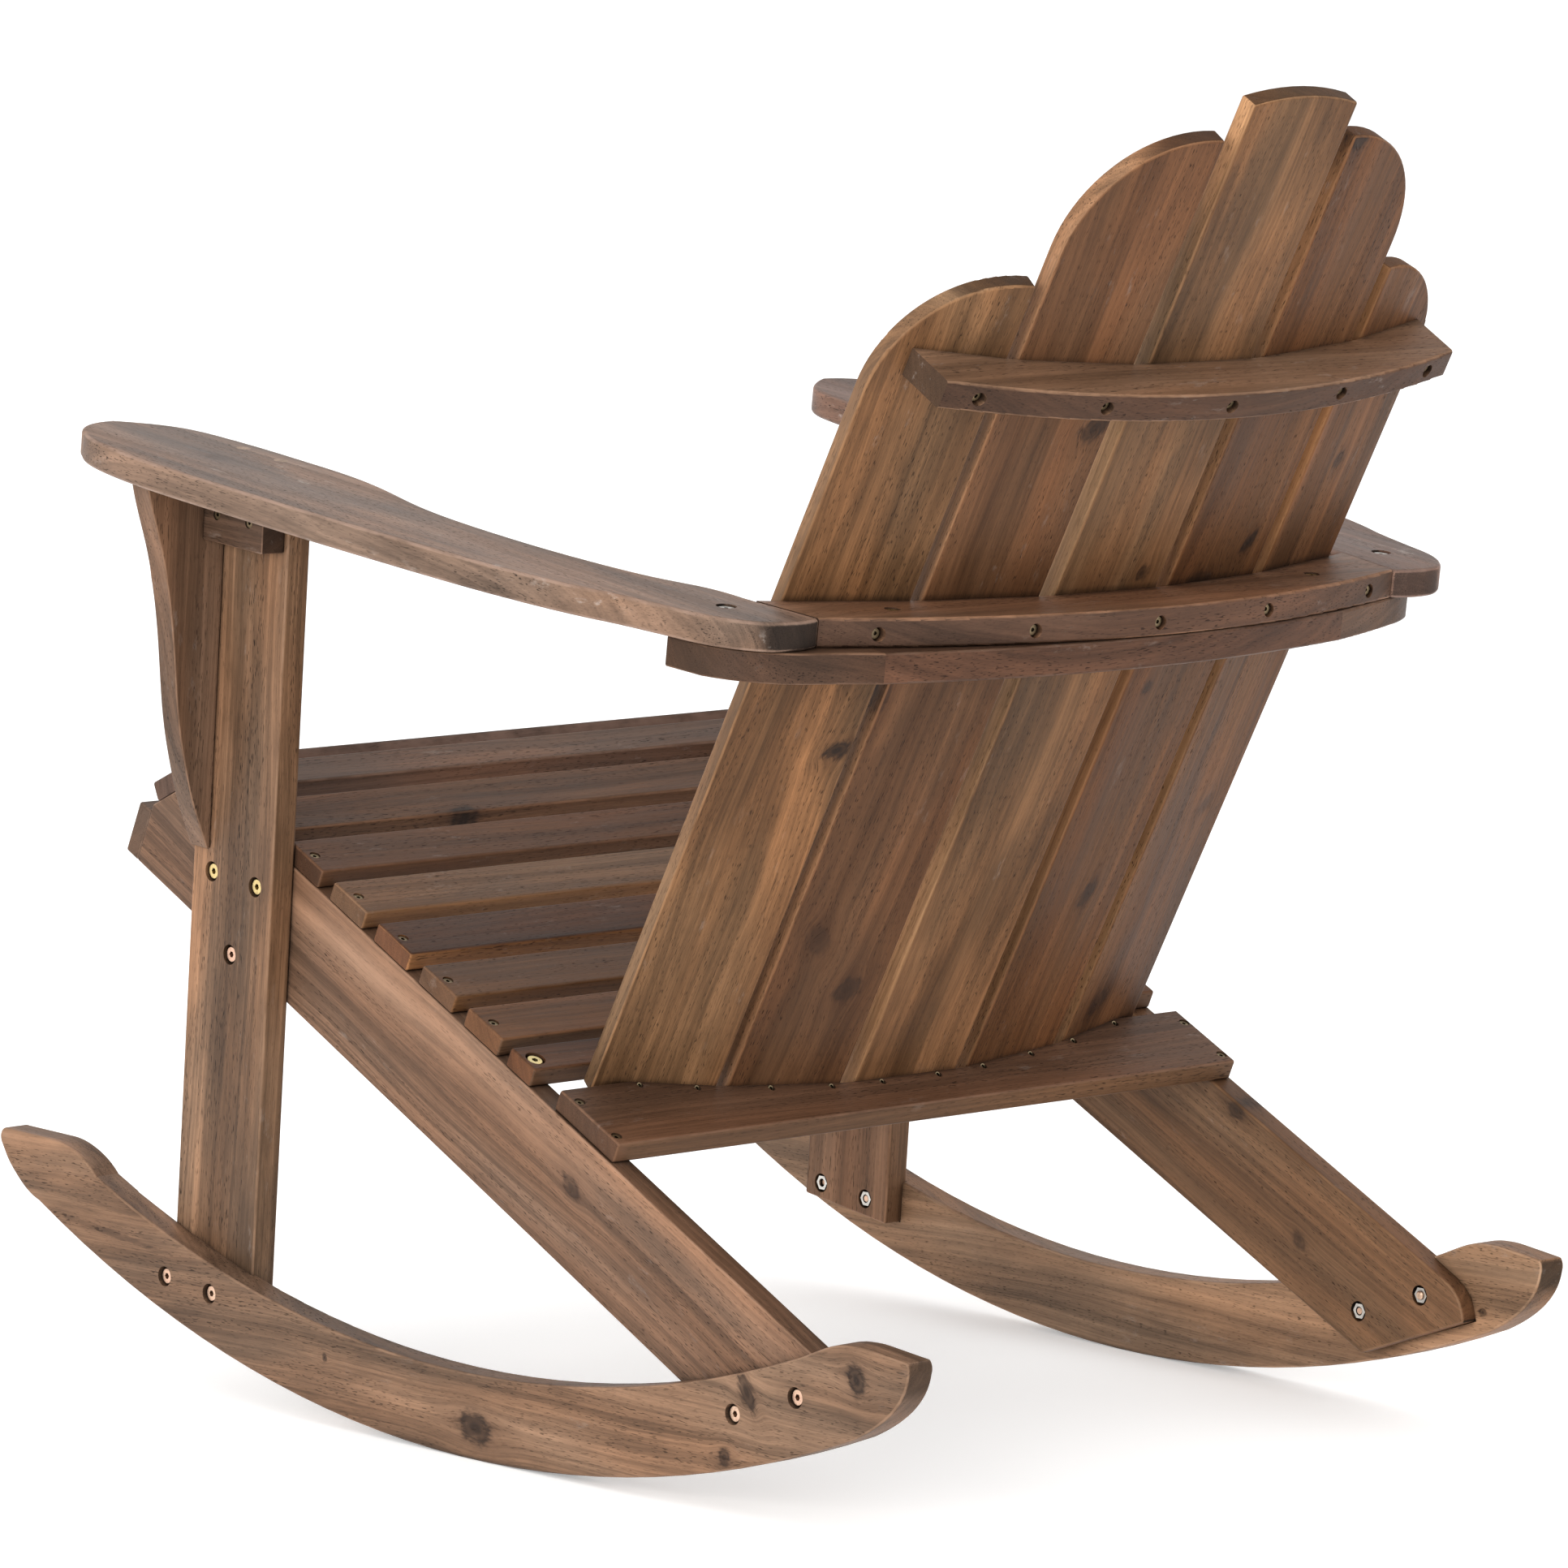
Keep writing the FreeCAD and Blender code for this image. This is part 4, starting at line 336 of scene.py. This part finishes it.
def wood(name, fr, seed, mid, light=1.6, dark=0.5, bands=0.8, streaks=0.7, fine=0.55, pores=0.8, clouds=0.7,
         pith=(90.0, 55.0), knots=(), wear=0.7, scuff=0.25, end=0.75, worn=None, side=(1.0, 1.0, 1.0),
         face=(1.0, 1.0, 1.0)):
    """One board's finish.  fr is its board frame, mid its middle tone (linear),
    light and dark are gains on it, side and face are tints of its narrow and wide faces,
    the side tint partly the stain and partly painted light on the narrow sides,
    knots are (x, y, rx, ry, slant, heart, shoulder, halo)."""
    m = bpy.data.materials.new("wood_" + name)
    m.use_nodes = True
    m.diffuse_color = (*mid, 1.0)
    t = Tree(m.node_tree)
    bsdf = m.node_tree.nodes["Principled BSDF"]
    inv = fr.to_3x3().transposed()
    coord = t.node("ShaderNodeTexCoord").outputs["Object"]
    mp = t.node("ShaderNodeMapping", vector_type="POINT")
    t.put(mp.inputs["Vector"], coord)
    mp.inputs["Scale"].default_value = (1000.0,) * 3
    mp.inputs["Rotation"].default_value = inv.to_euler("XYZ")
    mp.inputs["Location"].default_value = -(inv @ fr.to_translation())
    geo = t.node("ShaderNodeNewGeometry").outputs["Normal"]
    mn = t.node("ShaderNodeMapping", vector_type="VECTOR")
    t.put(mn.inputs["Vector"], geo)
    mn.inputs["Rotation"].default_value = inv.to_euler("XYZ")
    p, kd, ks, kp = mp.outputs[0], None, None, None
    for j, k in enumerate(knots):
        kx, ky, krx, kry, slant, heart, shoulder, halo = k
        n = t.node("ShaderNodeGroup", node_tree=KNOT)
        t.put(n.inputs["P"], p)
        for lab, v in (("X", kx), ("Y", ky), ("RX", krx), ("RY", kry), ("Slant", slant), ("Heart", heart),
                       ("Shoulder", shoulder), ("Halo", halo), ("Seed", seed * 3.7 + j * 5.3)):
            n.inputs[lab].default_value = v
        if kd is not None:
            t.put(n.inputs["Dark"], kd)
            t.put(n.inputs["Soft"], ks)
            t.put(n.inputs["Pale"], kp)
        p, kd, ks, kp = n.outputs["P"], n.outputs["Dark"], n.outputs["Soft"], n.outputs["Pale"]
    n = t.node("ShaderNodeGroup", node_tree=WOOD)
    t.put(n.inputs["P"], p)
    t.put(n.inputs["Raw"], mp.outputs[0])
    t.put(n.inputs["N"], mn.outputs[0])
    if kd is not None:
        t.put(n.inputs["KnotDark"], kd)
        t.put(n.inputs["KnotSoft"], ks)
        t.put(n.inputs["KnotPale"], kp)
    for lab, v in (("Seed", seed), ("Bands", bands), ("Streaks", streaks), ("Fine", fine), ("Pores", pores),
                   ("Clouds", clouds), ("PithY", pith[0]), ("PithZ", pith[1]), ("Wear", wear), ("Scuff", scuff),
                   ("EndTone", end)):
        n.inputs[lab].default_value = v
    for lab, v in (("Light", mul(mid, light)), ("Mid", mid), ("Dark", mul(mid, dark)),
                   ("Worn", worn or mul(mid, (1.9, 2.0, 2.1))), ("SideStainAndLight", side), ("FaceTone", face)):
        n.inputs[lab].default_value = (*v, 1.0)
    # painted shade: base colour darkened where other surfaces lie within 7 mm, in joints, gaps between boards and bolt
    # counterbores
    painted_shade_ao = t.node("ShaderNodeAmbientOcclusion", samples=4, only_local=False)
    painted_shade_ao.inputs["Distance"].default_value = 0.007
    painted_shade = t.ramp(painted_shade_ao.outputs["AO"], 0.30, 0.85, 0.30, 1.0)
    t.put(bsdf.inputs["Base Color"], t.mix(1.0, n.outputs["Color"], t.join(painted_shade, painted_shade, painted_shade), "MULTIPLY"))
    t.put(bsdf.inputs["Roughness"], n.outputs["Roughness"])
    bsdf.inputs["Specular IOR Level"].default_value = 0.16
    bump = t.node("ShaderNodeBump")
    bump.inputs["Strength"].default_value = 0.55
    bump.inputs["Distance"].default_value = 0.00022
    t.put(bump.inputs["Height"], n.outputs["Height"])
    t.put(bsdf.inputs["Normal"], bump.outputs[0])
    return m


def dress(node, material):
    ob = NODE[node]
    ob.data.materials.clear()
    ob.data.materials.append(material)


# --------------------------------------------------------------------------
# the boards
# --------------------------------------------------------------------------
def hollow(x):
    return BACK_DEPTH - x * x / (2 * BACK_CURVE)


def slat_frame(xc):
    za, zc = -hollow(xc - HALF), -hollow(xc + HALF)
    tilt = math.atan2(zc - za, 2 * HALF)
    return F_B @ Matrix.Translation((xc, 0, (za + zc) / 2)) @ Matrix.Rotation(-tilt, 4, "Y")


def rocker_frame(sgn):
    along = Vector((-sgn * math.sin(TOE), math.cos(TOE), 0))
    return board(F_W, (sgn * 300.0, 60.0, 110.0), along, Z)


BOARDS = {}


def lay(name, fr, **kw):
    BOARDS[name] = (fr, kw)


# the back: broad soft patches of stain, slats 2 and 4 the calmer and redder ones; the slats' side tints are partly
# painted light, lifting the sides seen in the gaps
lay("back_slat_1", board(slat_frame(199.5), (0, 620, 7), Y, X), mid=(0.1486, 0.0729, 0.0325), side=(1.15, 1.3, 1.5),
    end=0.42, light=1.75, bands=0.45, streaks=0.4, clouds=1.6, fine=0.6, pores=0.8,
    knots=[(-38, -34, 7, 8, 0.5, 0.85, 0.7, 0.3), (12, -25, 6, 5, 0.0, 0.15, 0.4, 0.0)])
lay("back_slat_2", board(slat_frame(103.0), (0, 620, 7), Y, X), mid=(0.1121, 0.05, 0.0224), side=(2.3, 2.7, 3.1),
    end=0.55, bands=0.4, streaks=0.4, clouds=0.9, pores=0.9,
    knots=[(216, -33, 10, 8, 0.3, 0.7, 0.7, 0.2), (-230, -18, 9, 9, 0.2, 0.5, 0.7, 0.3),
           (-190, 20, 11, 9, -0.4, 0.3, 0.6, 0.2), (4, 46, 12, 4, 0.0, 0.5, 0.5, 0.0)])
lay("back_slat_3", board(slat_frame(1.2), (0, 620, 7), Y, X), mid=(0.124, 0.0604, 0.0271), side=(2.05, 2.35, 2.65),
    end=0.55, light=1.75, bands=0.4, streaks=0.35, clouds=1.6, fine=0.6, pores=0.8,
    knots=[(99, -25, 6, 5, 0.1, 0.65, 0.5, 0.4)])
lay("back_slat_4", board(slat_frame(-99.6), (0, 620, 7), Y, X), mid=(0.1074, 0.0447, 0.0175), side=(2.05, 2.5, 3.0),
    end=0.8, bands=0.4, streaks=0.4, clouds=0.8, pores=0.9,
    knots=[(-175, -8, 10, 6, 0.2, 0.55, 0.7, 0.2), (1, 22, 5, 4, 0.0, 0.6, 0.5, 0.2),
           (110, -24, 8, 5.5, 0.3, 0.8, 0.6, 0.2), (433, 38, 12, 7, 0.2, 0.7, 0.8, 0.2),
           (87, 14, 5, 11, 0.0, 0.55, 0.5, 0.0)])
lay("back_slat_5", board(slat_frame(-198.6), (0, 620, 7), Y, X), mid=(0.1062, 0.0458, 0.0185), side=(2.05, 2.4, 2.7),
    end=0.95, light=1.7, bands=0.5, streaks=0.45, clouds=1.2, pores=0.9,
    knots=[(-126, -17, 8, 7, 0.2, 0.4, 0.8, 0.2), (-284, 20, 10, 8, 0.3, 0.5, 0.8, 0.2),
           (160, 4, 6.5, 5, 0.0, 0.5, 0.5, 0.3)])

lay("seat_rail_left", board(F_S, (269.5, 600, -44), Y, Z), mid=(0.1739, 0.0969, 0.0595), side=(0.571, 0.559, 0.553),
    light=1.55, bands=0.7, streaks=0.6, clouds=0.9, knots=[(104, 10, 9, 6, 0.2, 0.55, 0.7, 0.3)])
lay("seat_rail_right", board(F_S, (-269.5, 600, -44), Y, Z), mid=(0.122, 0.0639, 0.0324), side=(0.93, 0.843, 0.803),
    end=0.17, bands=0.5, streaks=0.5, clouds=0.8,
    knots=[(161, 40, 8, 5, 0.0, 0.6, 0.6, 0.0), (254, -7, 7, 5, 0.2, 0.5, 0.6, 0.2)])
lay("front_leg_left", board(F_C, (288.5, -225, 360), Z, Y), mid=(0.1435, 0.0799, 0.0459), side=(0.98, 0.97, 0.93),
    light=1.9, bands=0.6, streaks=0.5, clouds=1.4, pores=1.0)
lay("front_leg_right", board(F_C, (-288.5, -225, 360), Z, Y), mid=(0.1791, 0.0923, 0.0506), side=(0.975, 0.988, 0.953),
    bands=0.5, streaks=0.5, clouds=0.7)
lay("rocker_left", rocker_frame(1), mid=(0.1537, 0.0885, 0.0536), side=(0.98, 0.98, 1.0), end=0.48, light=1.65,
    bands=0.55, streaks=0.5, clouds=1.3, fine=0.65,
    knots=[(26, -62, 15, 10, 0.1, 0.75, 0.7, 0.8), (293, 1, 8, 9, 0.9, 0.7, 0.5, 0.2), (272, -45, 5, 6, 0.0, 0.7, 0.5, 0.2),
           (396, 23, 8, 9, 0.3, 0.8, 0.7, 0.2), (-131, -37, 2.5, 3, 0.0, 0.7, 0.2, 0.0),
           (-370, 19, 55, 2.2, 0.1, 0.35, 0.2, 0.0)])
# far rocker: mid tone set lighter than the near rocker's, partly its own tone and partly painted light making up for
# the shade the chair casts on it
lay("rocker_right", rocker_frame(-1), mid=(0.236, 0.1403, 0.0834), side=(0.85, 0.78, 0.72), end=0.22, light=1.5,
    bands=0.5, streaks=0.5, clouds=0.9, knots=[(388, -2, 4, 3, 0.0, 0.7, 0.4, 0.0)])
lay("arm_left", board(F_A, (325, -20, -10), Y, X), mid=(0.1685, 0.1072, 0.0775), side=(0.87, 0.86, 0.82), end=0.14,
    bands=0.45, streaks=0.4, clouds=1.4, scuff=0.9, pores=1.0, knots=[(-206, 1, 9, 6, 0.0, 0.3, 0.4, 0.0)])
lay("arm_right", board(F_A, (-325, -20, -10), Y, X), mid=(0.1232, 0.0748, 0.057), side=(1.413, 1.283, 1.173), end=0.5,
    bands=0.45, streaks=0.4, clouds=1.4, scuff=0.9, pores=1.0)
for side, s in (("left", 1), ("right", -1)):
    lay("arm_bracket_" + side, board(F_C, (s * 330, -260.5, 520), Z, X), mid=(0.135, 0.075, 0.045),
        side=(0.85, 0.9, 0.97), bands=0.45, streaks=0.4)
    lay("arm_cleat_" + side, board(F_C, (s * 307.5, -215, 617), Y, Z), mid=(0.105, 0.057, 0.035), end=0.47)
lay("arm_support_end_left", board(F_A, (265, 290, -30), X, Y), mid=(0.1133, 0.0593, 0.0347), side=(0.54, 0.52, 0.52), end=0.4,
    bands=0.3, streaks=0.3)
lay("arm_support_end_right", board(F_A, (-265, 290, -30), X, Y), side=(0.95, 0.93, 0.90), mid=(0.107, 0.056, 0.033),
    bands=0.4, streaks=0.4)
lay("middle_back_rail", board(F_A, (0, 310, -10), X, Y), mid=(0.1728, 0.0865, 0.0477), side=(0.46, 0.46, 0.50), end=0.55,
    bands=0.3, streaks=0.35, clouds=0.8)
lay("arm_support_rail", board(F_A, (0, 310, -30), X, Y), mid=(0.0729, 0.0393, 0.0247), side=(1.17, 1.027, 0.946),
    bands=0.5, streaks=0.5)
lay("top_back_rail", board(F_B, (0, 875, -20), X, Z), mid=(0.1707, 0.0925, 0.0526), side=(0.37, 0.33, 0.33), end=0.34,
    bands=0.3, streaks=0.35, clouds=0.8, scuff=0.5)
lay("bottom_back_rail", board(F_S, (0, 700, 7.5), X, Y), mid=(0.0986, 0.0493, 0.028), side=(0.986, 1.055, 0.994), end=0.72,
    bands=0.45, streaks=0.4, knots=[(276, 31, 3, 4, 0.0, 0.0, 0.0, 1.0)])
lay("rear_seat_rail", board(F_S, (0, 624, 7), X, Y), mid=(0.0614, 0.0242, 0.0101), side=(1.186, 1.462, 1.791), end=1.57)
lay("seat_nose_slat", board(F_S, (0, 215, -20), X, Y), side=(0.902, 0.947, 1.035), mid=(0.115, 0.067, 0.048), end=0.82)
lay("front_apron", board(F_S, (0, 195, -68), X, Z), mid=(0.105, 0.064, 0.044))
# seat slats: (mid, side, end) per slat; the side tint is partly stain and partly painted light on the slat sides
SEAT = [
    ((0.1122, 0.0618, 0.0395), (1.02, 0.97, 0.953), 0.75), ((0.1144, 0.055, 0.029), (1.281, 1.309, 1.317), 0.75),
    ((0.0841, 0.0385, 0.0196), (1.2, 1.27, 1.293), 0.61), ((0.1052, 0.057, 0.0318), (1.71, 1.642, 1.41), 0.89),
    ((0.0601, 0.0256, 0.0126), (4.685, 5.064, 4.231), 1.84), ((0.0846, 0.0436, 0.0238), (1.295, 1.175, 0.905), 1.11),
    ((0.113, 0.0492, 0.0222), (0.908, 1.052, 1.21), 1.05)]
for k, (mid, side, end) in enumerate(SEAT):
    at = 258.5 if k == 0 else 290.5 + 53.9 * (k - 1) + 20.0
    lay("seat_slat_%d" % (k + 1), board(F_S, (0, at, 7), X, Y), mid=mid, side=side, end=end, bands=0.45, streaks=0.45,
        clouds=0.8, knots=[(116, 20, 11, 5, 0.0, 0.8, 0.6, 0.0)] if k == 1 else ())

for k, (name, (fr, kw)) in enumerate(sorted(BOARDS.items())):
    kw.setdefault("seed", 1.0 + 0.73 * k)
    kw.setdefault("pith", (60.0 + 17.0 * (k % 5), 45.0 + 13.0 * (k % 4)))
    dress(name, wood(name, fr, **kw))


# --------------------------------------------------------------------------
# plated fasteners
# --------------------------------------------------------------------------
def metal(name, tones, rough=0.32, split=None):
    """Plated steel: tones are its two colours, split is a height (mm) where the first turns into the second."""
    m = bpy.data.materials.new(name)
    m.use_nodes = True
    m.diffuse_color = (*tones[0], 1.0)
    t = Tree(m.node_tree)
    bsdf = m.node_tree.nodes["Principled BSDF"]
    pos = t.node("ShaderNodeTexCoord").outputs["Object"]
    a = t.noise(pos, detail=3.0, scale=700.0)
    b = t.noise(pos, detail=2.0, scale=90.0)
    fac = t.ramp(b, 0.35, 0.65)
    if split is not None:
        x, y, z = t.split(pos)
        fac = t.ramp(z, split / 1000.0 - 0.002, split / 1000.0 + 0.002)
    col = t.mix(fac, tones[0], tones[1])
    tarnish = t.ramp(a, 0.5, 0.75)
    col = t.mix(t.math("MULTIPLY", tarnish, 0.5), col, mul(tones[0], 0.35))
    # painted shade: base colour darkened where other surfaces lie within 3 mm, deep in sockets and counterbores
    painted_shade_ao = t.node("ShaderNodeAmbientOcclusion", samples=4, only_local=False)
    painted_shade_ao.inputs["Distance"].default_value = 0.003
    painted_shade = t.ramp(painted_shade_ao.outputs["AO"], 0.35, 0.95, 0.10, 1.0)
    t.put(bsdf.inputs["Base Color"], t.mix(1.0, col, t.join(painted_shade, painted_shade, painted_shade), "MULTIPLY"))
    bsdf.inputs["Metallic"].default_value = 1.0
    t.put(bsdf.inputs["Roughness"], t.math("MULTIPLY_ADD", a, 0.25, rough - 0.1))
    bump = t.node("ShaderNodeBump")
    bump.inputs["Strength"].default_value = 0.3
    bump.inputs["Distance"].default_value = 0.00005
    t.put(bump.inputs["Height"], a)
    t.put(bsdf.inputs["Normal"], bump.outputs[0])
    return m


GOLD, COPPER, SILVER, DULL = (0.78, 0.60, 0.27), (0.74, 0.47, 0.34), (0.70, 0.67, 0.62), (0.24, 0.18, 0.11)
gold = metal("yellow_zinc", (GOLD, mul(GOLD, (0.9, 0.95, 1.05))))
leg_bolt = metal("leg_bolt_zinc", (COPPER, GOLD), split=315.0)
copper = metal("copper_zinc", (COPPER, mul(COPPER, (1.0, 1.1, 1.1))))
silver = metal("bright_zinc", (SILVER, mul(SILVER, 0.85)))
dull = metal("dark_screw", (DULL, mul(DULL, (1.3, 1.35, 1.3))), rough=0.45)
for n in NODE:
    if n == "leg_bolts":
        dress(n, leg_bolt)
    elif n in ("rocker_front_bolts", "rocker_rear_bolts"):
        dress(n, copper)
    elif n in ("rear_seat_rail_bolts", "middle_rail_top_screws"):
        dress(n, gold)
    elif n == "arm_rear_screws":
        dress(n, silver)
    elif n.endswith("nuts"):
        dress(n, silver)
    elif "screws" in n:
        dress(n, dull)
dress("arm_plugs", wood("arm_plugs", board(F_A, (0, 0, 0), Z, X), seed=77.0, mid=(0.34, 0.25, 0.19), end=1.0,
                        wear=0.2))


# --------------------------------------------------------------------------
# pale studio floor, white surroundings, one broad key
# --------------------------------------------------------------------------
def make_floor():
    n = 48
    size = 14.0
    verts, faces = [], []
    for a in range(n + 1):
        for b in range(n + 1):
            verts.append((-size + 2 * size * a / n, -size + 2 * size * b / n, 0.0))
    for a in range(n):
        for b in range(n):
            k = a * (n + 1) + b
            faces.append((k, k + n + 1, k + n + 2, k + 1))
    me = bpy.data.meshes.new("floor")
    me.from_pydata(verts, [], faces)
    ob = bpy.data.objects.new("floor", me)
    scene.collection.objects.link(ob)
    m = bpy.data.materials.new("floor")
    m.use_nodes = True
    t = Tree(m.node_tree)
    bsdf = m.node_tree.nodes["Principled BSDF"]
    pos = t.node("ShaderNodeTexCoord").outputs["Object"]
    a = t.noise(pos, detail=3.0, scale=2.5)
    t.put(bsdf.inputs["Base Color"], t.mix(a, (0.89, 0.89, 0.89), (0.91, 0.91, 0.91)))
    t.put(bsdf.inputs["Roughness"], t.math("MULTIPLY_ADD", a, 0.1, 0.75))
    bsdf.inputs["Specular IOR Level"].default_value = 0.2
    bsdf.inputs["Emission Color"].default_value = (1.0, 1.0, 1.0, 1.0)
    bsdf.inputs["Emission Strength"].default_value = 0.30
    me.materials.append(m)
    return ob


make_floor()

world = bpy.data.worlds.new("studio")
scene.world = world
world.use_nodes = True
bg = world.node_tree.nodes["Background"]
bg.inputs["Color"].default_value = (1.0, 1.0, 1.0, 1.0)
bg.inputs["Strength"].default_value = 1.12


def softbox(name, at, to, size, power, color=(1, 1, 1)):
    ld = bpy.data.lights.new(name, "AREA")
    ld.shape = "RECTANGLE"
    ld.size, ld.size_y = size
    ld.energy = power
    ld.color = color
    ob = bpy.data.objects.new(name, ld)
    scene.collection.objects.link(ob)
    look(ob, at, to)
    return ob


softbox("key", (4.4, 1.4, 1.5), (0, 0, 0.4), (3.0, 2.2), 130.0, (1.0, 0.97, 0.93))

scene.view_settings.view_transform = "Standard"
scene.view_settings.look = "None"
scene.view_settings.exposure = 0.0
scene.view_settings.gamma = 1.0
